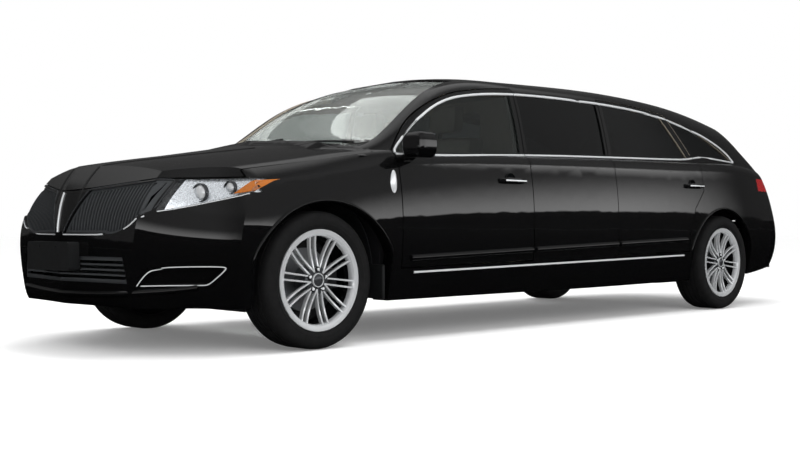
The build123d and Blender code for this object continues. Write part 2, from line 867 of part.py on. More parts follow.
def upright(axle_x):
    """hub carrier and brake caliper of a left wheel"""
    with BuildPart() as body:
        with BuildSketch(Plane.XZ.offset(-knuckle_back)):
            with Locations((axle_x, tyre_radius)):
                Circle(60)
                RectangleRounded(70, 2 * knuckle_half_height, 20)
            with Locations((axle_x - 95, tyre_radius)):
                Rectangle(110, 60)
        extrude(amount=knuckle_back - knuckle_face)
        with BuildSketch(Plane.XZ.offset(-caliper_back)):
            with Locations((axle_x - caliper_reach + 50, tyre_radius)):
                Rectangle(100, 108)
        extrude(amount=caliper_back - caliper_front)
        with BuildSketch(Plane.XZ.offset(4 + disc_thickness - disc_face - wheel_y)):
            with Locations((axle_x, tyre_radius)):
                Circle(disc_radius + 6)
        extrude(amount=-(disc_thickness + 8), mode=Mode.SUBTRACT)
    return body.part


save_pair(upright(front_axle_x), "front_knuckle")

# ---------------------------------------------------------------- chassis
arm_top = tyre_radius - knuckle_half_height - boss_gap
arm_thickness = 25
rail_in, rail_out = 420, 490
rail_low, rail_high = 400, 520
apron = 20
shelf_height = 862
firewall_x = front_axle_x - 530
firewall_top = 1000
floor_thickness = 60
floor_base = floor_height - floor_thickness
support_back, support_front = front_axle_x + 760, front_axle_x + 800
support_low, support_high = floor_height + 10, 850
post_in, post_out = floor_half_width, floor_half_width + 55

left_rail = [
    box_at(firewall_x, support_front, rail_in, rail_out, rail_low, rail_high),
    box_at(firewall_x, front_axle_x + 420, rail_out - apron, rail_out, rail_high - 20, shelf_height + 18),
    box_at(front_axle_x - 200, front_axle_x + 100, rail_out - apron, 690, shelf_height, shelf_height + 18),
    box_at(support_back, support_front, rail_out - 40, rail_out, support_low, support_high),
    box_at(firewall_x - 78, firewall_x + 20, post_in, post_out, floor_height, 980),
]
across = [
    box_at(firewall_x, firewall_x + 20, -post_in, post_in, floor_base, firewall_top),
    box_at(support_back, support_front, -rail_out, rail_out, support_low, support_low + 30),
    box_at(support_back, support_front, -rail_out, rail_out, support_high - 30, support_high),
    box_at(support_front, support_front + 40, -600, 600, 500, 620),
]
right_rail = [other_side(piece) for piece in left_rail]
with BuildPart() as front_frame:
    add([*left_rail, *right_rail, *across])
save(front_frame.part, "front_frame")

left_tower = box_at(front_axle_x - 60, front_axle_x + 60, rail_in + 10, rail_out - 10, arm_top, rail_low)
cross_plate = box_at(front_axle_x - 160, front_axle_x + 110, -rail_in, rail_in, arm_top - 50, arm_top + 5)
with BuildPart() as left_arm:
    with BuildSketch(Plane.XY.offset(arm_top)):
        with BuildLine():
            outline = [(-150, 400), (90, 400), (30, 750), (-30, 750), (-120, 620)]
            Polyline(*[(front_axle_x + x, y) for x, y in outline], close=True)
        make_face()
    extrude(amount=-arm_thickness)
with BuildPart() as front_subframe:
    add([cross_plate, *both_sides(left_arm.part), *both_sides(left_tower)])
save(front_subframe.part, "front_subframe")

strut_x, strut_y = front_axle_x - 75, 575
rod_radius, spring_radius = 24, 40
spring_low = arm_top + 180
strut_top = shelf_height - fit
with BuildPart() as front_struts:
    for height, radius in ((arm_top + fit, rod_radius), (spring_low, spring_radius)):
        with BuildSketch(Plane.XY.offset(height)):
            with Locations((strut_x, strut_y), (strut_x, -strut_y)):
                Circle(radius)
        extrude(amount=strut_top - height)
save(front_struts.part, "front_struts")

pipe_y, pipe_radius = -320, 30
pipe_height = floor_base - 36
tunnel = box_at(rear_axle_x - 200, rear_axle_x + 200, pipe_y - 40, pipe_y + 40, pipe_height - 36, floor_base)
rear_uprights = both_sides(upright(rear_axle_x))
rear_beams = [
    box_at(rear_axle_x - 50, rear_axle_x + 50, -knuckle_back - 10, knuckle_back + 10, 235, floor_base - fit),
    box_at(rear_axle_x - 160, rear_axle_x + 160, -430, 430, 190, floor_base - fit),
]
with BuildPart() as rear_axle:
    add([*rear_uprights, *rear_beams])
    add(tunnel, mode=Mode.SUBTRACT)
save(rear_axle.part, "rear_axle")

liner_radius, liner_thickness = 455, 6
liner_height = shelf_height - fit - liner_radius - liner_thickness
liner_outer_y = 830
liner_bottom = floor_height + fit
well_half_width = 622


def liner(middle_x, inner_y):
    """arched tub over a left wheel, closed on its inner side"""
    with BuildPart() as tub:
        for radius, y, mode in (
            (liner_radius + liner_thickness, inner_y, Mode.ADD),
            (liner_radius, inner_y + liner_thickness, Mode.SUBTRACT),
        ):
            with BuildSketch(Plane.XZ.offset(-y)):
                with Locations((middle_x, liner_height)):
                    Circle(radius)
            extrude(amount=y - liner_outer_y, mode=mode)
        split(bisect_by=Plane.XY.offset(liner_bottom), keep=Keep.TOP)
    return tub.part


strut_hole = Location((strut_x, strut_y, liner_bottom)) * Cylinder(
    spring_radius + 6, 800, align=(Align.CENTER, Align.CENTER, Align.MIN)
)
front_liner = without(liner(front_axle_x - 20, rail_out + fit), strut_hole)
rear_liner = liner(rear_axle_x, well_half_width)
with BuildPart() as wheel_liners:
    add([*both_sides(front_liner), *both_sides(rear_liner)])
save(wheel_liners.part, "wheel_liners")

jack_pad_xs = (front_axle_x - 760, rear_axle_x + 760)
jack_pad_y, jack_pad_depth = 700, 12
with BuildPart() as floor_pan:
    with BuildSketch(Plane.XY.offset(floor_base)):
        with BuildLine():
            notch_y = well_half_width - fit
            half = [(firewall_x, floor_half_width), (rear_axle_x + 485, floor_half_width),
                    (rear_axle_x + 485, notch_y), (rear_axle_x - 485, notch_y),
                    (rear_axle_x - 485, floor_half_width), (rear_axle_x - 1040, floor_half_width)]
            Polyline(*half, *[(x, -y) for x, y in reversed(half)], half[0])
        make_face()
    extrude(amount=floor_thickness)
    with BuildSketch(Plane.XY.offset(floor_base)):
        with Locations(*[(x, side * jack_pad_y) for x in jack_pad_xs for side in (-1, 1)]):
            RectangleRounded(140, 90, 10)
    extrude(amount=-jack_pad_depth)
save(floor_pan.part, "floor_pan")

# ---------------------------------------------------------------- engine, exhaust, tank
engine_blocks = [
    box_at(front_axle_x - 260, front_axle_x + 420, -rail_in, rail_in, rail_low + 10, rail_high - 10),
    box_at(front_axle_x - 260, front_axle_x + 420, -350, 350, 300, 880),
]
with BuildPart() as engine:
    add(engine_blocks)
save(engine.part, "engine")

with BuildPart() as radiator:
    with BuildSketch(Plane.YZ.offset(support_back)):
        with Locations((0, (support_low + support_high) / 2)):
            Rectangle(2 * (rail_in - fit), support_high - support_low - 40)
    extrude(amount=-26)
save(radiator.part, "radiator")

with BuildPart() as fuel_tank:
    with BuildSketch(Plane.XY.offset(floor_base)):
        with Locations((rear_axle_x + 610, 180)):
            RectangleRounded(580, 480, 60)
    extrude(amount=-95)
save(fuel_tank.part, "fuel_tank")

exhaust_blocks = [
    box_at(rear_axle_x - 985, rear_axle_x - 340, pipe_y - 100, pipe_y + 100, 215, floor_base - fit),
    box_at(front_axle_x - 640, front_axle_x - 600, -200, -160, pipe_height, floor_base - fit),
]
with BuildPart() as exhaust:
    with BuildLine():
        pipe_path = FilletPolyline(
            (front_axle_x - 420, -180, pipe_height), (front_axle_x - 900, -180, pipe_height),
            (front_axle_x - 1200, pipe_y, pipe_height), (rear_axle_x - 1100, pipe_y, pipe_height),
            radius=200,
        )
    with BuildSketch(Plane(pipe_path @ 0, z_dir=pipe_path % 0)):
        Circle(pipe_radius)
    sweep()
    add(exhaust_blocks)
save(exhaust.part, "exhaust")

# ---------------------------------------------------------------- cabin
wheel_tilt = 25             # steering column from level
wheel_place = (front_axle_x - 1060, 380, 985)
column = Plane(
    origin=wheel_place, x_dir=(0, 1, 0),
    z_dir=(-cos(radians(wheel_tilt)), 0, sin(radians(wheel_tilt))),
)
wheel_ring_radius = 183
dash_half_width = 790
console_half_width = 115
dash_back = front_axle_x - 950


def outline_at(points, axle_x):
    """closed line through points given as (distance behind the axle, height)"""
    Polyline(*[(axle_x - t, z) for t, z in points], close=True)


console_blocks = [
    box_at(dash_back + 15, dash_back + 170, -console_half_width, console_half_width, floor_height, 820),
    box_at(front_axle_x - 1600, dash_back + 15, -console_half_width, console_half_width, floor_height, 600),
]
with BuildPart() as dashboard:
    with BuildSketch(Plane.XZ.offset(-dash_half_width)):
        with BuildLine():
            top_points = [(530, 990), (620, 1035), (860, 1030), (950, 965)]
            outline_at([(530, 760), *top_points, (925, 820), (800, 740)], front_axle_x)
        make_face()
    extrude(amount=2 * dash_half_width)
    add(console_blocks)
    with BuildSketch(column.offset(-26.5)):
        Circle(34)
    extrude(amount=-140)
save(dashboard.part, "dashboard")

with BuildPart() as steering_wheel:
    with BuildSketch(Plane(column.origin, x_dir=column.z_dir, z_dir=column.x_dir)):
        with Locations((0, wheel_ring_radius)):
            Circle(15)
    revolve(axis=Axis(column.origin, column.z_dir))
    with BuildSketch(column.offset(-26)):
        Circle(52)
    extrude(amount=36)
    with BuildSketch(column.offset(-8)):
        with Locations((0, 0)):
            Rectangle(2 * wheel_ring_radius, 34)
        with Locations((wheel_ring_radius / 2, 0), (-wheel_ring_radius / 2, 0)):
            Rectangle(40, 34)
    extrude(amount=14)
save(steering_wheel.part, "steering_wheel")

seat_y, seat_half_width = 380, 250
with BuildPart() as driver_seat:
    with BuildSketch(Plane.XZ.offset(-seat_y - seat_half_width)):
        with BuildLine():
            outline_at([(1030, 470), (1020, 670), (1080, 712), (1450, 655), (1590, 1180), (1640, 1240),
                        (1710, 1210), (1700, 900), (1620, 470)], front_axle_x)
        make_face()
    extrude(amount=2 * seat_half_width)
    for width, low, high, t0, t1 in ((200, floor_height, 480, 1100, 1540), (60, 1180, 1330, 1655, 1690)):
        with BuildSketch(Plane.XY.offset(low)):
            with Locations((front_axle_x - (t0 + t1) / 2, seat_y)):
                Rectangle(t1 - t0, 2 * width)
        extrude(amount=high - low)
    with BuildSketch(Plane.XZ.offset(-seat_y - 130)):
        with Locations((front_axle_x - 1672, 1375)):
            RectangleRounded(95, 170, 30)
    extrude(amount=260)
with BuildPart() as front_seats:
    add(both_sides(driver_seat.part))
save(front_seats.part, "front_seats")

partition_front = front_axle_x - 1800
with BuildPart() as partition:
    with BuildSketch(Plane.YZ.offset(partition_front)):
        with BuildLine():
            half = [(795, floor_height), (795, 1080), (690, 1500)]
            Polyline(*half, *[(-y, z) for y, z in reversed(half)], close=True)
        make_face()
        with Locations((0, 1250)):
            RectangleRounded(940, 340, 40, mode=Mode.SUBTRACT)
    extrude(amount=-40)
save(partition.part, "partition")

bench_y = -795
with BuildPart() as side_bench:
    with BuildSketch(Plane.YZ.offset(front_axle_x - 2100)):
        with BuildLine():
            Polyline((bench_y, floor_height), (bench_y + 430, floor_height), (bench_y + 470, 740),
                     (bench_y + 190, 775), (bench_y + 110, 1090), (bench_y, 1090), close=True)
        make_face()
    extrude(amount=-1550)
save(side_bench.part, "side_bench")

rear_bench_half_width = well_half_width - 12
with BuildPart() as rear_bench:
    with BuildSketch(Plane.XZ.offset(-rear_bench_half_width)):
        with BuildLine():
            seat_points = [(-240, floor_height), (-270, 740), (120, 700)]
            back_points = [(280, 1210), (370, 1220), (400, floor_height)]
            outline_at([*seat_points, *back_points], rear_axle_x)
        make_face()
    extrude(amount=2 * rear_bench_half_width)
save(rear_bench.part, "rear_bench")
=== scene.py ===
import bpy
import json
from math import cos, pi, radians, sin
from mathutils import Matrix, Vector

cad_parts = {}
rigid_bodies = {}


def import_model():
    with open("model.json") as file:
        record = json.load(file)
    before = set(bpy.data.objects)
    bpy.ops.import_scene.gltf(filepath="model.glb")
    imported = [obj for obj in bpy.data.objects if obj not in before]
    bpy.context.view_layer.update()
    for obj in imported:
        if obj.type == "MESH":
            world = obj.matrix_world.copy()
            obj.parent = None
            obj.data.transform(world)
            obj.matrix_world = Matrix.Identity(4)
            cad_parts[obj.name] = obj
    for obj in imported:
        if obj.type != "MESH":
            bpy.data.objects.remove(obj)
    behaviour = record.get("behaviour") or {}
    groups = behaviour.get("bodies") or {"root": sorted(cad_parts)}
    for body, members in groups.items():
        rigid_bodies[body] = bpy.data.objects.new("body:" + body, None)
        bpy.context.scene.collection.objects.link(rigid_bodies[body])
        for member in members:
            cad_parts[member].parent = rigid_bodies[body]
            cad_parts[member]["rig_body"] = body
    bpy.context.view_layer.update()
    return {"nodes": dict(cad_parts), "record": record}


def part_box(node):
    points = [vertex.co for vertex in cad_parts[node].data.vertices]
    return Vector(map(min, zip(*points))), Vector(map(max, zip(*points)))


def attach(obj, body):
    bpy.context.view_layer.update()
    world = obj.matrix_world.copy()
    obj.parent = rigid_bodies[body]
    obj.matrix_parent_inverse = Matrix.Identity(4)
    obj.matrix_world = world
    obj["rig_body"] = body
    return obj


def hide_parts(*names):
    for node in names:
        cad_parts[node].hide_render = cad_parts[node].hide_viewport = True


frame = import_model()
nodes = frame["nodes"]
frontAxle = sum(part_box("rim_front_left"), Vector()) / 2
rearAxle = sum(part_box("rim_rear_left"), Vector()) / 2
sides = (("left", 1), ("right", -1))
print("frame loaded")


# procedural materials, in Object coordinates so that each grain keeps its size in millimetres


def linearColour(hexText):
    parts = [int(hexText[i:i + 2], 16) / 255 for i in (1, 3, 5)]
    return (*[p / 12.92 if p <= 0.04045 else ((p + 0.055) / 1.055) ** 2.4 for p in parts], 1.0)


def addNode(owner, kind, settings=None, links=None):    # settings and links go by property or input name
    node = owner.node_tree.nodes.new(kind)
    for name, value in (settings or {}).items():
        if name in node.inputs:
            node.inputs[name].default_value = value
        else:
            setattr(node, name, value)
    for name, socket in (links or {}).items():
        owner.node_tree.links.new(socket, node.inputs[name])
    return node


def surfaceOf(material):
    return material.node_tree.nodes["Principled BSDF"]


def newMaterial(name, hexColour=None, **inputs):
    material = bpy.data.materials.new(name)
    material.use_nodes = True
    if hexColour:
        inputs["Base_Color"] = linearColour(hexColour)
    for key, value in inputs.items():
        surfaceOf(material).inputs[key.replace("_", " ")].default_value = value
    return material


def objectNoise(material, sizeMm, detail):
    place = addNode(material, "ShaderNodeTexCoord")
    settings = {"Scale": 1000 / sizeMm, "Detail": detail}
    return addNode(material, "ShaderNodeTexNoise", settings, {"Vector": place.outputs["Object"]})


def addGrain(material, sizeMm, depthMm, strength=0.4, detail=2.0, into="Normal"):
    noise = objectNoise(material, sizeMm, detail)
    settings = {"Strength": strength, "Distance": depthMm / 1000}
    bump = addNode(material, "ShaderNodeBump", settings, {"Height": noise.outputs["Fac"]})
    material.node_tree.links.new(bump.outputs["Normal"], surfaceOf(material).inputs[into])


def varyRoughness(material, sizeMm, low, high):
    noise = objectNoise(material, sizeMm, 3.0)
    settings = {"To Min": low, "To Max": high}
    spread = addNode(material, "ShaderNodeMapRange", settings, {"Value": noise.outputs["Fac"]})
    material.node_tree.links.new(spread.outputs[0], surfaceOf(material).inputs["Roughness"])


def mixColour(material, sizeMm, darkHex, lightHex):
    noise = objectNoise(material, sizeMm, 3.0)
    mix = addNode(material, "ShaderNodeMix", {"data_type": 'RGBA'}, {"Factor": noise.outputs["Fac"]})
    mix.inputs[6].default_value = linearColour(darkHex)
    mix.inputs[7].default_value = linearColour(lightHex)
    material.node_tree.links.new(mix.outputs[2], surfaceOf(material).inputs["Base Color"])


# black enamel under clear lacquer, with a trace of orange peel
paint = newMaterial("blackEnamel", Roughness=0.4, Specular_IOR_Level=0.05, Coat_Weight=1.0,
                    Coat_Roughness=0.015, Coat_IOR=1.6)
mixColour(paint, 400, "#030303", "#050506")
addGrain(paint, 16, 0.05, strength=0.12, detail=1.0, into="Coat Normal")

chrome = newMaterial("brightTrim", "#e2e4e6", Metallic=0.5)
varyRoughness(chrome, 40, 0.10, 0.18)
darkChrome = newMaterial("smokedChrome", "#5a5c5f", Metallic=0.8)
varyRoughness(darkChrome, 30, 0.12, 0.22)
alloy = newMaterial("polishedAlloy", "#dfe1e3", Metallic=0.62, Coat_Weight=0.5)
varyRoughness(alloy, 25, 0.14, 0.24)
addGrain(alloy, 3.0, 0.03, strength=0.2)
grilleBars = newMaterial("satinGrille", "#3b3d3f", Metallic=0.3)
varyRoughness(grilleBars, 30, 0.25, 0.38)
discSteel = newMaterial("groundSteel", "#8e9092", Metallic=1.0)
varyRoughness(discSteel, 12, 0.28, 0.42)
castMetal = newMaterial("castAluminium", Metallic=0.9)
mixColour(castMetal, 20, "#6a6c6e", "#828486")
varyRoughness(castMetal, 8, 0.45, 0.6)
chassisPaint = newMaterial("chassisEnamel")
mixColour(chassisPaint, 60, "#121214", "#1c1c1e")
varyRoughness(chassisPaint, 30, 0.45, 0.65)

clearGlass = newMaterial("laminatedGlass", "#e6ece8", Transmission_Weight=1.0)
varyRoughness(clearGlass, 300, 0.0, 0.01)
lightTint = newMaterial("lightTintGlass", "#7d8381", Transmission_Weight=1.0)
varyRoughness(lightTint, 300, 0.0, 0.01)
darkTint = newMaterial("privacyGlass", "#303334", Transmission_Weight=1.0)
varyRoughness(darkTint, 300, 0.0, 0.01)
lensClear = newMaterial("clearPolycarbonate", "#f4f6f8", Transmission_Weight=1.0, IOR=1.3)
varyRoughness(lensClear, 200, 0.0, 0.02)
mirrorGlass = newMaterial("silveredGlass", "#b9bfc4", Metallic=1.0)
varyRoughness(mirrorGlass, 100, 0.01, 0.03)
reflector = newMaterial("silveredReflector", "#d4d7da", Metallic=0.6)
varyRoughness(reflector, 12, 0.20, 0.35)
addGrain(reflector, 40, 1.5, strength=0.9, detail=1.0)
redLens = newMaterial("redAcrylic", Coat_Weight=1.0, Roughness=0.2, Transmission_Weight=0.2)
mixColour(redLens, 12, "#8c0a0e", "#b81216")
amberLens = newMaterial("amberAcrylic", Coat_Weight=1.0, Roughness=0.15)
mixColour(amberLens, 8, "#8a480f", "#ac6420")

rubber = newMaterial("tyreRubber")    # carbon black rubber, a little dusty
mixColour(rubber, 60, "#09090a", "#101011")
varyRoughness(rubber, 40, 0.6, 0.85)
addGrain(rubber, 2.5, 0.2)
plastic = newMaterial("grainedPlastic")
mixColour(plastic, 80, "#0e0f10", "#161718")
varyRoughness(plastic, 30, 0.4, 0.55)
addGrain(plastic, 2.0, 0.15)
glossPlastic = newMaterial("glossBlackPlastic", "#08090a", Coat_Weight=0.6)
varyRoughness(glossPlastic, 60, 0.12, 0.25)
cabinTrim = newMaterial("stoneTrim")
mixColour(cabinTrim, 50, "#8f8679", "#a1988a")
varyRoughness(cabinTrim, 20, 0.55, 0.7)
addGrain(cabinTrim, 2.0, 0.15)
leather = newMaterial("greyLeather")
mixColour(leather, 30, "#5d5750", "#746d64")
varyRoughness(leather, 15, 0.38, 0.55)
addGrain(leather, 4.0, 0.5, strength=0.5, detail=6.0)

slotMaterials = {
    "paint": paint, "clear_glass": clearGlass, "dark_glass": darkTint, "red_lens": redLens,
    "lamp_lens": lensClear, "tyre": rubber, "alloy": alloy, "black_plastic": plastic, "trim": cabinTrim,
    "leather": leather, "cast_metal": castMetal, "chassis_steel": chassisPaint,
}
slotOf = {part["node"]: part["material_slot"] for part in frame["record"]["subparts"]}
bodyOf = {nodeName: node["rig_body"] for nodeName, node in nodes.items()}
for nodeName, node in nodes.items():
    node.data.materials.clear()
    node.data.materials.append(grilleBars if nodeName == "grille" else slotMaterials[slotOf[nodeName]])
print("materials ready")

weld = 0.00002    # corners closer than this are one


def selectOnly(*pieces):
    bpy.ops.object.select_all(action='DESELECT')
    for piece in pieces:
        piece.select_set(True)
    bpy.context.view_layer.objects.active = pieces[0]


def editing(piece):
    selectOnly(piece)
    bpy.ops.object.mode_set(mode='EDIT')
    bpy.ops.mesh.select_all(action='SELECT')


def doneEditing():
    bpy.ops.object.mode_set(mode='OBJECT')


def applyPlace(piece):    # its place, turn and scale go into its mesh
    selectOnly(piece)
    bpy.ops.object.transform_apply(location=True, rotation=True, scale=True)


def applyModifier(piece, kind, **settings):
    selectOnly(piece)
    modifier = piece.modifiers.new(kind.lower(), kind)
    for name, value in settings.items():
        setattr(modifier, name, value)
    bpy.ops.object.modifier_apply(modifier=modifier.name)


def roundEdges(piece, width, leastAngle):    # those that turn by more than leastAngle degrees
    applyModifier(piece, 'BEVEL', width=width, segments=2, limit_method='ANGLE',
                  angle_limit=radians(leastAngle))


def fixNormals(piece, merge=weld):
    editing(piece)
    bpy.ops.mesh.remove_doubles(threshold=merge)
    bpy.ops.mesh.normals_make_consistent(inside=False)
    doneEditing()


def smoothed(piece, angle=35):
    selectOnly(piece)
    bpy.ops.object.shade_smooth_by_angle(angle=radians(angle))
    return piece


def joined(pieces):
    selectOnly(*pieces)
    bpy.ops.object.join()
    return bpy.context.object


def copyOf(piece):
    twin = piece.copy()
    twin.data = piece.data.copy()
    bpy.context.scene.collection.objects.link(twin)
    return twin


def finishPiece(piece, name, body, material, stands=()):
    applyPlace(piece)
    piece.name = name
    piece.data.name = name
    piece.data.materials.clear()
    piece.data.materials.append(material)
    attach(piece, body)
    if stands:
        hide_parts(*stands)


# the left piece and its mirror image on the right; body and stands end in _left, or the body is shared
def finishPair(piece, name, body, material, stands=()):
    applyPlace(piece)
    twin = copyOf(piece)
    twin.scale = (1, -1, 1)
    applyPlace(twin)
    fixNormals(twin)
    standsRight = [node.replace("_left", "_right") for node in stands]
    finishPiece(piece, name + "_left", body, material, stands)
    finishPiece(twin, name + "_right", body.replace("_left", "_right"), material, standsRight)


def shapedBox(low, high, rounding=0.0):    # box between two corners
    low, high = Vector(low), Vector(high)
    bpy.ops.mesh.primitive_cube_add(size=1, location=(low + high) / 2)
    box = bpy.context.object
    box.scale = high - low
    applyPlace(box)
    if rounding:
        editing(box)
        bpy.ops.mesh.bevel(offset=rounding, segments=3, affect='EDGES')
        doneEditing()
    return box


def ball(radii, segments):
    bpy.ops.mesh.primitive_uv_sphere_add(segments=segments, ring_count=segments // 2, radius=1)
    piece = bpy.context.object
    piece.scale = radii
    applyPlace(piece)
    return piece


def wireThrough(points):    # open line of edges, pulled out point by point from one vertex
    points = [Vector(p) for p in points]
    bpy.ops.mesh.primitive_plane_add(size=0.01, location=points[0])
    wire = bpy.context.object
    applyPlace(wire)
    editing(wire)
    bpy.ops.mesh.merge(type='CENTER')
    for here, there in zip(points, points[1:]):
        bpy.ops.mesh.extrude_vertices_move(TRANSFORM_OT_translate={"value": there - here})
    doneEditing()
    return wire


# body of revolution about Y from a closed outline of (distance outwards, radius) points
def turned(outline, steps, angle=40):
    wire = wireThrough([(0, y, r) for y, r in outline])
    editing(wire)
    bpy.ops.mesh.edge_face_add()
    bpy.ops.mesh.delete(type='ONLY_FACE')
    bpy.ops.mesh.select_all(action='SELECT')
    bpy.ops.mesh.spin(steps=steps, angle=2 * pi, center=(0, 0, 0), axis=(0, 1, 0))
    doneEditing()
    fixNormals(wire, 0.0001)
    return smoothed(wire, angle)


def panelCopy(nodeName):    # the CAD panel's own surface, shaded smooth so that the lacquer reflects cleanly
    piece = copyOf(nodes[nodeName])
    piece.parent = None
    for key in list(piece.keys()):
        del piece[key]
    selectOnly(piece)
    bpy.ops.mesh.customdata_custom_splitnormals_clear()
    editing(piece)
    bpy.ops.mesh.remove_doubles(threshold=weld)
    doneEditing()
    return smoothed(piece, 30)


lining = {    # which of the panels' faces get the cabin's trim
    "from": -2.3, "to": 1.6, "above": 0.4, "offMiddle": 0.5, "roofAbove": 1.2,
    "facing": 0.35,    # least share of the normal that points into the cabin
}


def lineCabin(piece):
    piece.data.materials.append(cabinTrim)
    for face in piece.data.polygons:
        x, y, z = face.center
        outwards = face.normal.y * (1 if y > 0 else -1)
        isWall = outwards < -lining["facing"] and abs(y) > lining["offMiddle"]
        isRoof = face.normal.z < -lining["facing"] and z > lining["roofAbove"]
        if (isWall or isRoof) and lining["from"] < x < lining["to"] and z > lining["above"]:
            face.material_index = 1


paintNodes = sorted(n for n in nodes if slotOf[n] == "paint")
glassNodes = sorted(n for n in nodes if slotOf[n] in ("clear_glass", "dark_glass", "red_lens"))
skins = []
for nodeName in paintNodes + glassNodes:
    skin = panelCopy(nodeName)
    slotName = slotOf[nodeName]
    material = lightTint if nodeName.startswith("front_door_glass") else slotMaterials[slotName]
    finishPiece(skin, nodeName + "_skin", bodyOf[nodeName], material, [nodeName])
    if "mirror" in nodeName:
        continue
    if nodeName in paintNodes:
        lineCabin(skin)
    skins.append(skin)
lampSkins = [panelCopy(f"headlamp_{side}") for side, way in sides]
outerSkin = joined([copyOf(skin) for skin in skins] + lampSkins)    # only to fit trim on, deleted later
outerSkin.parent = None
print("panels ready")

# what lies on the skin is thrown onto it from one view: the axis looked along, and where the throw starts
views = {"side": ("y", 1.4), "front": ("x", 3.6), "top": ("z", 2.2)}


# points are (x, z) seen from the side, (y, z) from the front and (x, y) from the top
def offSkin(point, view):
    axis, start = views[view]
    place = list(point)
    place.insert("xyz".index(axis), start)
    return place


def skinAt(point, view):
    direction = Vector()
    direction["xyz".index(views[view][0])] = -1
    return outerSkin.ray_cast(offSkin(point, view), direction)[1]


def dropOnSkin(piece, view):
    aim = {f"use_project_{axis}": axis == views[view][0] for axis in "xyz"}
    applyModifier(piece, 'SHRINKWRAP', target=outerSkin, wrap_method='PROJECT', use_negative_direction=True,
                  use_positive_direction=False, **aim)


# round bead on the skin; span cuts it off outside those two x
def trimLine(points, view, radius, span=()):
    axis, start = views[view]
    wire = wireThrough([offSkin(point, view) for point in points])
    applyModifier(wire, 'SUBSURF', levels=2, render_levels=2)
    dropOnSkin(wire, view)
    editing(wire)
    bpy.ops.mesh.select_all(action='DESELECT')
    doneEditing()
    for vertex in wire.data.vertices:    # those that missed the skin are still at the start
        vertex.select = vertex.co["xyz".index(axis)] > start - 0.01
    bpy.ops.object.mode_set(mode='EDIT')
    bpy.ops.mesh.delete(type='VERT')
    for edge, isLow in zip(span, (True, False)):
        bpy.ops.mesh.select_all(action='SELECT')
        bpy.ops.mesh.bisect(plane_co=(edge, 0, 0), plane_no=(1, 0, 0), clear_inner=isLow,
                            clear_outer=not isLow)
    doneEditing()
    selectOnly(wire)
    bpy.ops.object.convert(target='CURVE')
    bead = bpy.context.object
    bead.data.bevel_depth = radius
    bead.data.bevel_resolution = 3
    bead.data.use_fill_caps = True
    bpy.ops.object.convert(target='MESH')
    bead = bpy.context.object
    fixNormals(bead)
    return smoothed(bead, 60)


# side lines go by (behind the front axle, height)
def sideLine(line, span=()):
    return trimLine([(frontAxle.x - behind, height) for behind, height in line["points"]], "side",
                    line["radius"], span)


# cut at the panels' edges, so that each door carries its own length
def panelLine(line, name, material):
    for number, (body, span) in enumerate(line["panels"]):
        finishPair(sideLine(line, span), f"{name}_{number}", body, material)


beltLine = {    # bright line under the side windows
    "points": [(0.601, 1.069), (0.80, 1.071), (1.04, 1.077), (1.53, 1.105), (2.16, 1.127), (2.86, 1.144),
               (3.40, 1.158), (3.70, 1.165), (3.86, 1.184), (3.98, 1.199), (4.10, 1.198), (4.54, 1.178)],
    "radius": 0.007,
    "panels": [("front_door_left", (0.4450, 1.6110)), ("car_body", (-0.4960, 0.4360)),
               ("rear_door_left", (-1.6400, -0.4990)), ("car_body", (-3.0, -1.6560))],
}
topLine = {    # bright line over the side windows
    "points": [(0.601, 1.075), (0.640, 1.118), (0.688, 1.160), (0.889, 1.322), (1.076, 1.420), (1.259, 1.468),
               (1.651, 1.515), (2.285, 1.532), (2.995, 1.524), (3.529, 1.490), (4.111, 1.385), (4.400, 1.287),
               (4.500, 1.225), (4.540, 1.180)],
    "radius": 0.008,
    "panels": [("front_door_left", (0.4450, 1.6110)), ("car_body", (-0.4960, 0.4360)),
               ("rear_door_left", (-1.3720, -0.4990)), ("car_body", (-3.0, -1.3860))],
}
sideMoulding = {
    "points": [(0.660, 0.474), (0.90, 0.481), (1.445, 0.496), (2.495, 0.526), (3.50, 0.552), (3.590, 0.554)],
    "radius": 0.019,
    "panels": [("front_door_left", (0.4600, 1.6)), ("car_body", (-0.4800, 0.4210)),
               ("rear_door_left", (-1.6, -0.5150))],
}
sillStrip = {
    "points": [(0.692, 0.392), (1.6, 0.406), (2.6, 0.421), (3.566, 0.436)],
    "radius": 0.0065,
}
panelLine(beltLine, "belt_line", chrome)
panelLine(topLine, "window_line", chrome)
panelLine(sideMoulding, "side_moulding", paint)
finishPair(sideLine(sillStrip), "sill_strip", "car_body", chrome)

wheelArch = {
    "half": 0.465, "top": 0.785, "shoulder": 0.5, "lip": 0.010, "radius": 0.0095,
    "foot": 0.40, "bend": 0.45,    # heights where the lip ends and where its arc begins to form
    "from": 27, "sweep": 126, "steps": 18,    # degrees of the arc
    "middles": {"front": frontAxle.x - 0.045, "rear": rearAxle.x + 0.010},
}
sagitta = wheelArch["top"] - wheelArch["shoulder"]
archRadius = (wheelArch["half"] ** 2 + sagitta ** 2) / (2 * sagitta)
archCentre = wheelArch["top"] - archRadius
lipRadius = archRadius + wheelArch["lip"]
for end, middle in wheelArch["middles"].items():
    arc = []
    for step in range(wheelArch["steps"] + 1):
        angle = radians(wheelArch["from"] + wheelArch["sweep"] * step / wheelArch["steps"])
        arc.append((middle + lipRadius * cos(angle), archCentre + lipRadius * sin(angle)))
    front, back = arc[0][0], arc[-1][0]
    foot, bend = wheelArch["foot"], wheelArch["bend"]
    points = [(front, foot), (front, bend), *arc, (back, bend), (back, foot)]
    lip = trimLine(points, "side", wheelArch["radius"])
    finishPair(lip, f"arch_lip_{end}", "car_body", paint)
print("side trim ready")

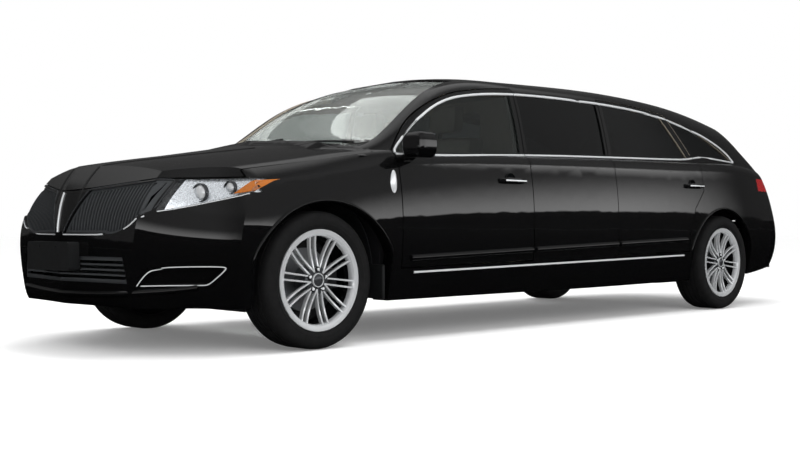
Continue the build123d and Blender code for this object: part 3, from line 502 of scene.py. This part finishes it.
noseTrim = {    # left half, (half width, height) seen from the front
    "grille_outline": {"radius": 0.003, "points": [
        (0.040, 0.617), (0.060, 0.655), (0.110, 0.742), (0.165, 0.832), (0.176, 0.848), (0.200, 0.851),
        (0.400, 0.872), (0.600, 0.893), (0.628, 0.895), (0.633, 0.880), (0.637, 0.780), (0.638, 0.745),
        (0.625, 0.712), (0.560, 0.650), (0.450, 0.624), (0.340, 0.616), (0.150, 0.616), (0.060, 0.615),
        (0.040, 0.617)]},
    "grille_foot": {"radius": 0.004, "points": [
        (0.045, 0.612), (0.150, 0.612), (0.340, 0.612), (0.450, 0.620), (0.565, 0.647), (0.628, 0.706)]},
    "fog_outline": {"radius": 0.003, "points": [
        (0.594, 0.357), (0.610, 0.400), (0.633, 0.449), (0.700, 0.451), (0.868, 0.453), (0.860, 0.440),
        (0.780, 0.358), (0.770, 0.357), (0.600, 0.357)]},
    "lamp_foot": {"radius": 0.003, "points": [
        (0.643, 0.729), (0.700, 0.753), (0.790, 0.786), (0.860, 0.806), (0.905, 0.822)]},
}
for name, line in noseTrim.items():
    material = darkChrome if name == "grille_outline" else chrome
    finishPair(trimLine(line["points"], "front", line["radius"]), name, "car_body", material)

centreStrip = {
    "points": [(0.0, 0.833), (0.0, 0.800), (0.0, 0.740), (0.0, 0.680), (0.0, 0.625)],
    "radius": 0.006,
}
strip = trimLine(centreStrip["points"], "front", centreStrip["radius"])
finishPiece(strip, "centre_strip", "car_body", chrome)

chinLip = {
    "points": [(-0.74, 0.345), (-0.62, 0.322), (-0.30, 0.306), (0.0, 0.303), (0.30, 0.306), (0.62, 0.322),
               (0.74, 0.345)],
    "radius": 0.016,
}
lip = trimLine(chinLip["points"], "front", chinLip["radius"])
finishPiece(lip, "chin_lip", "car_body", paint)

hoodCrease = {    # seen from the top
    "points": [(3.170, 0.120), (3.100, 0.128), (2.950, 0.150), (2.600, 0.225), (2.180, 0.330)],
    "radius": 0.0055,
}
for side, way in sides:
    crease = trimLine([(x, way * y) for x, y in hoodCrease["points"]], "top", hoodCrease["radius"])
    finishPiece(crease, f"hood_crease_{side}", "hood", paint)

wiper = {    # seen from the top
    "points": [(1.700, 0.640), (1.735, 0.400), (1.800, 0.150), (1.845, -0.060)],
    "radius": 0.008,
    "shifts": {"left": (0, 0), "right": (-0.01, -0.68)},
}
for side, (dx, dy) in wiper["shifts"].items():
    blade = trimLine([(x + dx, y + dy) for x, y in wiper["points"]], "top", wiper["radius"])
    finishPiece(blade, f"wiper_{side}", "car_body", plastic)
print("nose trim ready")

tyre = {
    "radius": 0.3685, "half": 0.1275,
    "sidewall": [    # from the bead to the shoulder: (in from the widest, radius)
        (0.0245, 0.254), (0.0245, 0.276), (0.014, 0.2775), (0.009, 0.284), (0.003, 0.296), (0.0008, 0.3005),
        (0.0008, 0.3025), (0.0018, 0.3035), (0, 0.312), (0.001, 0.330), (0.006, 0.347), (0.016, 0.358),
        (0.034, 0.366)],
    "grooves": (0.060, 0.020, -0.020, -0.060),
    "grooveMouth": 0.005, "grooveFloor": 0.004, "grooveDepth": 0.007,    # half widths and depth
}


def tyreShape():
    outer, floor = tyre["radius"], tyre["radius"] - tyre["grooveDepth"]
    near = [(tyre["half"] - inset, radius) for inset, radius in tyre["sidewall"]]
    tread = []
    for groove in tyre["grooves"]:
        tread += [(groove + tyre["grooveMouth"], outer), (groove + tyre["grooveFloor"], floor),
                  (groove - tyre["grooveFloor"], floor), (groove - tyre["grooveMouth"], outer)]
    far = [(-y, radius) for y, radius in reversed(near)]
    shape = turned(near + tread + far, 120)
    roundEdges(shape, 0.0012, 50)
    return smoothed(shape, 40)


spoke = {
    "pairs": 10, "turn": 0.3,    # turn of the first pair, as a share of the step between pairs
    "inner": 0.046, "outer": 0.252, "face": 0.094, "depth": 0.026,
    "halfWidth": 0.0046, "innerWidth": 0.9, "widening": 0.25, "backWidth": 0.7,
    "dish": 0.008, "rise": 0.0165, "apart": 0.0155, "spread": 0.0030,
    "lip": [    # (distance outwards, radius)
        (0.104, 0.255), (0.104, 0.2725), (0.110, 0.2725), (0.1125, 0.271), (0.1120, 0.262), (0.1105, 0.245),
        (0.106, 0.2395), (0.096, 0.236), (0.084, 0.2345), (0.072, 0.2345), (0.072, 0.246), (0.096, 0.250)],
}


def spokeBar(way):    # one bar of a pair, beside its twin, dished and risen to the lip at its end
    face, halfWidth = spoke["face"], spoke["halfWidth"]
    bar = shapedBox((-halfWidth, face - spoke["depth"], spoke["inner"]), (halfWidth, face, spoke["outer"]))
    editing(bar)
    bpy.ops.mesh.subdivide(number_cuts=5)
    doneEditing()
    for vertex in bar.data.vertices:
        along = (vertex.co.z - spoke["inner"]) / (spoke["outer"] - spoke["inner"])
        taper = spoke["backWidth"] if vertex.co.y < face - spoke["depth"] / 2 else 1
        vertex.co.x *= (spoke["innerWidth"] + spoke["widening"] * along) * taper
        vertex.co.y -= spoke["dish"] * sin(pi * along)
        vertex.co.y += spoke["rise"] * along ** 4
        vertex.co.x += way * (spoke["apart"] + spoke["spread"] * along)
    return bar


def rimShape():
    lip = turned(spoke["lip"], 120)
    pair = joined([spokeBar(-1), spokeBar(1)])
    roundEdges(pair, 0.0016, 40)
    pairs = []
    for number in range(spoke["pairs"]):
        turnedPair = copyOf(pair)
        turnedPair.rotation_euler = (0, 2 * pi * (number + spoke["turn"]) / spoke["pairs"], 0)
        applyPlace(turnedPair)
        pairs.append(turnedPair)
    bpy.data.objects.remove(pair)
    return smoothed(joined([lip, *pairs]), 32)


wheelNuts = {
    "count": 5, "circle": 0.058,
    # radius, depth, distance outwards of the outer end, corners
    "nut_wells": (0.0145, 0.020, 0.0932, 24),
    "nuts": (0.0085, 0.016, 0.0985, 6),
}


def aroundHub(kind):    # short cylinders on the nut circle
    radius, depth, front, corners = wheelNuts[kind]
    rounds = []
    for number in range(wheelNuts["count"]):
        angle = 2 * pi * number / wheelNuts["count"]
        place = (wheelNuts["circle"] * sin(angle), front - depth / 2, wheelNuts["circle"] * cos(angle))
        bpy.ops.mesh.primitive_cylinder_add(vertices=corners, radius=radius, depth=depth, location=place,
                                            rotation=(pi / 2, 0, 0))
        piece = bpy.context.object
        applyPlace(piece)
        editing(piece)
        bpy.ops.mesh.bevel(offset=0.0012, segments=2, affect='EDGES')
        doneEditing()
        rounds.append(piece)
    return smoothed(joined(rounds), 40)


wheelOutlines = {    # (distance outwards, radius)
    "barrel": [(0.074, 0.2385), (-0.040, 0.2385), (-0.060, 0.252), (-0.104, 0.254), (-0.104, 0.2725),
               (-0.112, 0.271), (-0.112, 0.250), (-0.096, 0.246), (-0.064, 0.2345), (0.060, 0.2345),
               (0.074, 0.2360)],
    "hub": [(0.060, 0.002), (0.060, 0.074), (0.080, 0.076), (0.0875, 0.070), (0.0885, 0.038), (0.086, 0.036),
            (0.086, 0.002)],
    "cap": [(0.084, 0.0005), (0.084, 0.033), (0.094, 0.033), (0.0975, 0.029), (0.100, 0.020), (0.101, 0.008),
            (0.101, 0.0005)],
    "cap_ring": [(0.086, 0.0332), (0.086, 0.0372), (0.097, 0.0372), (0.0985, 0.0358), (0.0985, 0.0346),
                 (0.097, 0.0332)],
    "disc": [(-0.045, 0.070), (-0.045, 0.171), (-0.035, 0.172), (-0.034, 0.165), (-0.031, 0.165),
             (-0.030, 0.172), (-0.020, 0.171), (-0.020, 0.075), (0.060, 0.070)],
    "shield": [(-0.058, 0.072), (-0.058, 0.222), (-0.050, 0.229), (-0.050, 0.2305), (-0.060, 0.224),
               (-0.060, 0.072)],
}
wheelParts = {    # shape, material, slot, and whether it turns with the wheel
    "tyre": (tyreShape(), rubber, "tyre", True),
    "rim": (rimShape(), alloy, "alloy", True),
    "barrel": (turned(wheelOutlines["barrel"], 96, 35), glossPlastic, "black_plastic", True),
    "hub": (turned(wheelOutlines["hub"], 72), darkChrome, "alloy", True),
    "nut_wells": (aroundHub("nut_wells"), glossPlastic, "black_plastic", True),
    "nuts": (aroundHub("nuts"), chrome, "alloy", True),
    "cap": (turned(wheelOutlines["cap"], 48), darkChrome, "alloy", True),
    "cap_ring": (turned(wheelOutlines["cap_ring"], 48), chrome, "alloy", True),
    "disc": (turned(wheelOutlines["disc"], 72), discSteel, "cast_metal", True),
    "shield": (turned(wheelOutlines["shield"], 96), plastic, "black_plastic", False),
}
wheelSide = 0.8305    # from the car's middle to the tyre's
for end, axle in (("front", frontAxle), ("rear", rearAxle)):
    still = "front_upright_left" if end == "front" else "car_body"
    for kind, (shape, material, slotName, turns) in wheelParts.items():
        piece = copyOf(shape)
        piece.location = axle.x, wheelSide, tyre["radius"]
        body = f"{end}_wheel_left" if turns else still
        stands = [f"{kind}_{end}_left"] if kind in ("tyre", "rim") else []
        finishPair(piece, f"{kind}_{end}", body, material, stands)
for shape, *_ in wheelParts.values():
    bpy.data.objects.remove(shape)

splashGuard = {"low": (1.715, 0.700, 0.245), "high": (1.735, 0.925, 0.440), "rounding": 0.006}
guard = shapedBox(splashGuard["low"], splashGuard["high"], splashGuard["rounding"])
finishPair(smoothed(guard), "splash_guard", "car_body", plastic)
print("wheels ready")

headlamp = {    # clear lens over a silvered reflector with projectors
    "depth": 0.018, "sideways": 0.6,    # reflector behind the lens, and the share of that it moves inwards
    "projectors": [((0.712, 0.824), 0.043), ((0.800, 0.850), 0.031)],    # place seen from the front, radius
    "ring": [    # (distance outwards, out from the projector's radius)
        (0.010, 0), (0.012, 0.002), (0.012, 0.005), (0.008, 0.007), (-0.010, 0.007), (-0.010, 0)],
    "eyeSize": 0.95, "eyeFlat": 0.45,    # shares of the projector's radius
    "aim": -78, "sunk": Vector((-0.011, -0.003, 0)),
}
for side, way in sides:
    lens = panelCopy(f"headlamp_{side}")
    back = copyOf(lens)
    back.location = (-headlamp["depth"], -way * headlamp["depth"] * headlamp["sideways"], 0)
    finishPiece(lens, f"headlamp_lens_{side}", "car_body", lensClear, [f"headlamp_{side}"])
    finishPiece(back, f"headlamp_reflector_{side}", "car_body", reflector)
for number, (place, radius) in enumerate(headlamp["projectors"]):
    ring = turned([(distance, radius + out) for distance, out in headlamp["ring"]], 64)
    eyeRadius = radius * headlamp["eyeSize"]
    eye = smoothed(ball((eyeRadius, eyeRadius * headlamp["eyeFlat"], eyeRadius), 32), 40)
    spot = skinAt(place, "front") + headlamp["sunk"]
    for part, name, material in ((ring, "projector_ring", darkChrome), (eye, "projector_eye", chrome)):
        part.rotation_euler = (0, 0, radians(headlamp["aim"]))
        part.location = spot
        finishPair(part, f"{name}_{number}", "car_body", material)

sideMarker = {"corners": [(0.834, 0.820), (0.868, 0.884), (0.903, 0.899), (0.911, 0.834)], "thick": 0.003}
marker = wireThrough([offSkin(corner, "front") for corner in sideMarker["corners"]])
editing(marker)
bpy.ops.mesh.edge_face_add()
bpy.ops.mesh.select_all(action='SELECT')
bpy.ops.mesh.subdivide(number_cuts=6)
doneEditing()
dropOnSkin(marker, "front")
applyModifier(marker, 'SOLIDIFY', thickness=sideMarker["thick"], offset=0)
fixNormals(marker)
finishPair(smoothed(marker, 40), "side_marker", "car_body", amberLens)
print("lamps ready")

handle = {    # depths are out from the door's skin
    "doors": {    # behind the front axle from and to, and height
        "front_door_left": (1.438, 1.699, 0.940),
        "rear_door_left": (3.592, 3.853, 0.962),
    },
    "grip": (0.016, 0.034), "halfHeight": 0.014, "endDrop": 0.022, "bow": 0.003,
    "insert": (0.0325, 0.0360), "insertLow": 0.004, "insertHigh": 0.006, "insertEnds": 0.03,
    "cup": [(0.0, 0.001), (0.0, 0.047), (0.0020, 0.050), (0.0040, 0.048), (0.0025, 0.044), (0.0018, 0.001)],
    "insertRounding": 0.0015, "cupForward": 0.02, "cupSunk": 0.001,
}
for body, (near, far, height) in handle["doors"].items():
    name = body.replace("_left", "_handle")
    x0, x1 = frontAxle.x - far, frontAxle.x - near
    y = skinAt(((x0 + x1) / 2, height), "side").y
    inner, outer = handle["grip"]
    grip = shapedBox((x0, y + inner, height - handle["halfHeight"]),
                     (x1, y + outer, height + handle["halfHeight"]))
    editing(grip)
    bpy.ops.mesh.subdivide(number_cuts=4)
    doneEditing()
    for vertex in grip.data.vertices:    # bowed, with its ends down on the door
        along = (vertex.co.x - x0) / (x1 - x0) * 2 - 1
        vertex.co.y -= handle["endDrop"] * along ** 6
        vertex.co.z += handle["bow"] * (1 - along ** 2)
    applyModifier(grip, 'SUBSURF', levels=2, render_levels=2)
    finishPair(smoothed(grip, 60), name, body, paint)
    inner, outer = handle["insert"]
    insert = shapedBox((x0 + handle["insertEnds"], y + inner, height - handle["insertLow"]),
                       (x1 - handle["insertEnds"], y + outer, height + handle["insertHigh"]),
                       handle["insertRounding"])
    finishPair(smoothed(insert), f"{name}_insert", body, chrome)
    cup = turned(handle["cup"], 48, 35)
    cup.location = ((x0 + x1) / 2 + handle["cupForward"], y - handle["cupSunk"], height)
    finishPair(cup, f"{name}_cup", body, glossPlastic)

capsule = {    # bright capsule on the fender, behind its wheel
    "behind": 0.533, "halfLength": 0.025, "halfThick": 0.011, "low": 0.806, "high": 0.973,
    "seatedAt": 0.905,    # height at which its depth is read off the skin
}
capsuleX = frontAxle.x - capsule["behind"]
halfHeight = (capsule["high"] - capsule["low"]) / 2
badge = ball((capsule["halfLength"], capsule["halfThick"], halfHeight), 48)
badge.location = (capsuleX, skinAt((capsuleX, capsule["seatedAt"]), "side").y, capsule["low"] + halfHeight)
finishPair(smoothed(badge, 60), "fender_capsule", "car_body", chrome)

mirrorLow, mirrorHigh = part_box("door_mirror_left")
mirrorTrim = {    # low and high corners, rounding, material, slot
    "mirror_lamp": ((mirrorHigh.x - 0.030, mirrorLow.y + 0.040, 1.103),
                    (mirrorHigh.x - 0.0005, mirrorHigh.y - 0.020, 1.110), 0.0015, lensClear, "lamp_lens"),
    "mirror_glass": ((mirrorLow.x - 0.001, mirrorHigh.y - 0.168, 1.055),
                     (mirrorLow.x + 0.004, mirrorHigh.y - 0.012, 1.180), 0.0018, mirrorGlass, "alloy"),
}
for name, (low, high, rounding, material, slotName) in mirrorTrim.items():
    finishPair(smoothed(shapedBox(low, high, rounding)), name, "front_door_left", material)
print("door furniture ready")

padding = {
    "cuts": 11, "margin": 0.01,    # the block is this much smaller before it swells
    "pinch": 0.012,    # how far the sides are drawn in between the corners
    "sides": 0.3, "ends": 0.5,    # shares of the crown on the sides and the ends
    "faces": 0.6,    # and on top and bottom
}


def cushion(low, high, name, crown=0.025, lean=0.0):    # crown is how far it bulges; lean tips it along x
    low, high = Vector(low), Vector(high)
    middle, half = (low + high) / 2, (high - low) / 2
    margin, pinch = Vector([padding["margin"]] * 3), padding["pinch"]
    pad = shapedBox(low + margin, high - margin)
    editing(pad)
    bpy.ops.mesh.subdivide(number_cuts=padding["cuts"])
    doneEditing()
    for vertex in pad.data.vertices:
        u, v, w = [(vertex.co[i] - middle[i]) / half[i] for i in range(3)]
        swell = crown * (1 - u * u) * (1 - w * w) * padding["sides"]
        vertex.co.y += -pinch * v * (1 - u * u) + (pinch + swell) * v * (1 - w * w) * 0.5
        vertex.co.x += u * (1 - v * v) * (1 - w * w) * crown * padding["ends"]
        vertex.co.z += w * (1 - u * u) * (1 - v * v) * crown * padding["faces"]
        vertex.co.x += lean * (vertex.co.z - low.z)
    applyModifier(pad, 'SUBSURF', levels=1, render_levels=1)
    finishPiece(smoothed(pad, 180), name, "car_body", leather)
    return pad


frontSeat = {
    "y": 0.38, "halfWidth": 0.245,
    "cushions": {    # x from and to, in from the sides, z from and to, lean
        "seat": (0.66, 1.17, 0, 0.56, 0.73, 0),
        "seat_back": (0.60, 0.76, 0.01, 0.68, 1.24, -0.18),
        "head_rest": (0.60, 0.70, 0.12, 1.27, 1.45, -0.10),
    },
    "frame": (0.62, 1.12, 0.04, 0.365, 0.56),    # the same without a lean
    "frameRounding": 0.02,
}
for side, way in sides:
    y0 = way * frontSeat["y"] - frontSeat["halfWidth"]
    y1 = way * frontSeat["y"] + frontSeat["halfWidth"]
    for name, (x0, x1, inset, z0, z1, lean) in frontSeat["cushions"].items():
        pad = cushion((x0, y0 + inset, z0), (x1, y1 - inset, z1), f"{name}_{side}", lean=lean)
        if (name, side) == ("seat", "left"):
            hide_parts("front_seats")
    x0, x1, inset, z0, z1 = frontSeat["frame"]
    seatFrame = shapedBox((x0, y0 + inset, z0), (x1, y1 - inset, z1), frontSeat["frameRounding"])
    finishPiece(smoothed(seatFrame), f"seat_frame_{side}", "car_body", plastic)

bench = {
    "rounding": 0.02,
    "bases": {    # low and high corners
        "rear_bench": ((-2.355, -0.605, 0.365), (-1.695, 0.605, 0.60)),
        "side_bench": ((-1.440, -0.790, 0.365), (0.100, -0.330, 0.60)),
    },
}
rearPlace = {    # places across the car; cushion and back go x from and to, z from and to
    "count": 3, "start": -0.600, "step": 0.400, "width": 0.396,
    "cushion": (-2.20, -1.70, 0.60, 0.78), "back": (-2.34, -2.21, 0.76, 1.20), "lean": -0.02,
}
sidePlace = {    # places along the car; cushion and back go y from and to, z from and to
    "count": 4, "start": -1.435, "step": 0.383, "width": 0.379,
    "cushion": (-0.700, -0.335, 0.60, 0.77), "back": (-0.785, -0.690, 0.74, 1.08), "backCrown": 0.015,
}
for name, (low, high) in bench["bases"].items():
    base = shapedBox(low, high, bench["rounding"])
    finishPiece(smoothed(base), f"{name}_base", "car_body", leather, [name])
for number in range(rearPlace["count"]):
    y0 = rearPlace["start"] + number * rearPlace["step"]
    y1 = y0 + rearPlace["width"]
    x0, x1, z0, z1 = rearPlace["cushion"]
    cushion((x0, y0, z0), (x1, y1, z1), f"rear_cushion_{number}")
    x0, x1, z0, z1 = rearPlace["back"]
    cushion((x0, y0, z0), (x1, y1, z1), f"rear_back_{number}", lean=rearPlace["lean"])
for number in range(sidePlace["count"]):
    x0 = sidePlace["start"] + number * sidePlace["step"]
    x1 = x0 + sidePlace["width"]
    y0, y1, z0, z1 = sidePlace["cushion"]
    cushion((x0, y0, z0), (x1, y1, z1), f"side_cushion_{number}")
    y0, y1, z0, z1 = sidePlace["back"]
    cushion((x0, y0, z0), (x1, y1, z1), f"side_back_{number}", crown=sidePlace["backCrown"])
print("cabin ready")

bpy.data.objects.remove(outerSkin)

viewpoint = {"at": (5.9725, 5.423, 0.656), "towards": (-0.697, -0.717, 0.001), "lens": 49.53}
camera = bpy.data.cameras.new("camera")
camera.lens = viewpoint["lens"]
camera.clip_end = 200
viewer = bpy.data.objects.new("camera", camera)
bpy.context.scene.collection.objects.link(viewer)
viewer.location = viewpoint["at"]
viewer.rotation_euler = Vector(viewpoint["towards"]).to_track_quat('-Z', 'Y').to_euler()
bpy.context.scene.camera = viewer
bpy.context.scene.view_settings.view_transform = 'Standard'

studio = {
    # how bright the room is to mirror-like surfaces
    "walls": 0.06, "frontSide": 0.10, "nearSide": 0.16, "nearStrip": 1.70, "overhead": 0.40,
    # where along the reflected direction each light sets in
    "nearY": (-0.10, 0.50), "nearX": (-0.92, -0.82), "stripZ": (0.05, 0.24), "frontX": (-0.10, 0.60),
    "overheadZ": (0.50, 0.66), "overheadY": (-0.35, 0.0), "overheadLeast": 0.15, "groundZ": (0.052, 0.062),
}
world = bpy.data.worlds.new("studio")
bpy.context.scene.world = world
world.use_nodes = True
whiteLight = (1, 1, 1, 1)


def ramp(socket, limits, start=0.0, end=1.0):
    low, high = limits
    settings = {"interpolation_type": 'SMOOTHSTEP', "From Min": low, "From Max": high, "To Min": start,
                "To Max": end}
    return addNode(world, "ShaderNodeMapRange", settings, {"Value": socket}).outputs[0]


def combine(operation, first, second):
    node = addNode(world, "ShaderNodeMath", {"operation": operation})
    for index, value in enumerate((first, second)):
        if isinstance(value, (int, float)):
            node.inputs[index].default_value = value
        else:
            world.node_tree.links.new(value, node.inputs[index])
    return node.outputs[0]


def mixShaders(factor, first, second):
    mix = addNode(world, "ShaderNodeMixShader", {}, {"Fac": factor})
    world.node_tree.links.new(first.outputs[0], mix.inputs[1])
    world.node_tree.links.new(second.outputs[0], mix.inputs[2])
    return mix


coordinates = addNode(world, "ShaderNodeTexCoord")
direction = addNode(world, "ShaderNodeSeparateXYZ", {}, {"Vector": coordinates.outputs["Generated"]}).outputs
nearSide = combine('MULTIPLY', ramp(direction["Y"], studio["nearY"]), ramp(direction["X"], studio["nearX"]))
strip = combine('MULTIPLY', nearSide, ramp(direction["Z"], studio["stripZ"], studio["nearStrip"], 0.0))
overhead = combine('MULTIPLY', ramp(direction["Z"], studio["overheadZ"]),
                   ramp(direction["Y"], studio["overheadY"], 1.0, studio["overheadLeast"]))
glossy = combine('ADD', combine('MULTIPLY', nearSide, studio["nearSide"]), strip)
glossy = combine('ADD', glossy, combine('MULTIPLY', overhead, studio["overhead"]))
glossy = combine('ADD', glossy, ramp(direction["X"], studio["frontX"], studio["walls"], studio["frontSide"]))
aboveGround = ramp(direction["Z"], studio["groundZ"])
glossy = combine('MULTIPLY', glossy, aboveGround)

rays = addNode(world, "ShaderNodeLightPath").outputs
seen = combine('MAXIMUM', rays["Is Camera Ray"], rays["Is Transmission Ray"])
daylight = world.node_tree.nodes["Background"]
daylight.inputs["Color"].default_value = whiteLight
daylight.inputs["Strength"].default_value = 1.0
reflected = addNode(world, "ShaderNodeBackground", {"Color": whiteLight}, {"Strength": glossy})
backdrop = addNode(world, "ShaderNodeBackground", {"Color": whiteLight, "Strength": 1.0})
room = mixShaders(seen, mixShaders(rays["Is Glossy Ray"], daylight, reflected), backdrop)
world.node_tree.links.new(room.outputs[0], world.node_tree.nodes["World Output"].inputs["Surface"])

lamps = {    # soft boxes that light the car without showing in its paint
    "overhead": {"at": (0.5, 0, 5.5), "size": (9, 3.5), "power": 380},
    "nearSide": {"at": (4, 9, 4), "size": (8, 3), "power": 260},
    "farSide": {"at": (-3, -9, 4), "size": (8, 3), "power": 160},
}
for lampName, lamp in lamps.items():
    light = bpy.data.lights.new(lampName, 'AREA')
    light.shape = 'RECTANGLE'
    light.size, light.size_y = lamp["size"]
    light.energy = lamp["power"]
    holder = bpy.data.objects.new(lampName, light)
    bpy.context.scene.collection.objects.link(holder)
    holder.location = lamp["at"]
    holder.visible_glossy = False
    holder.rotation_euler = (-Vector(lamp["at"])).to_track_quat('-Z', 'Y').to_euler()

ground = {"floorSize": 120, "floorHeight": -0.001, "glow": 0.14, "clothSize": 118, "clothHeight": 0.0005}


def flatSquare(name, size, height, material):
    bpy.ops.mesh.primitive_plane_add(size=size, location=(0, 0, height))
    square = bpy.context.object
    square.name = name
    square.data.materials.append(material)
    return square


floorPaint = newMaterial("paleFloor", "#f6f6f6", Roughness=0.9)
glow = addNode(floorPaint, "ShaderNodeEmission", {"Color": whiteLight, "Strength": ground["glow"]})
lit = addNode(floorPaint, "ShaderNodeAddShader")
floorLinks = floorPaint.node_tree.links
floorLinks.new(surfaceOf(floorPaint).outputs[0], lit.inputs[0])
floorLinks.new(glow.outputs[0], lit.inputs[1])
floorLinks.new(lit.outputs[0], floorPaint.node_tree.nodes["Material Output"].inputs["Surface"])
floor = flatSquare("floor", ground["floorSize"], ground["floorHeight"], floorPaint)

# black cloth that only mirror-like surfaces see, so that the paint stays black below the waist
clothPaint = newMaterial("blackCloth", "#050505", Roughness=1.0, Specular_IOR_Level=0.0)
cloth = flatSquare("dark_cloth", ground["clothSize"], ground["clothHeight"], clothPaint)
cloth.visible_camera = False
cloth.visible_diffuse = False
cloth.visible_shadow = False
cloth.visible_transmission = False
print("studio ready")
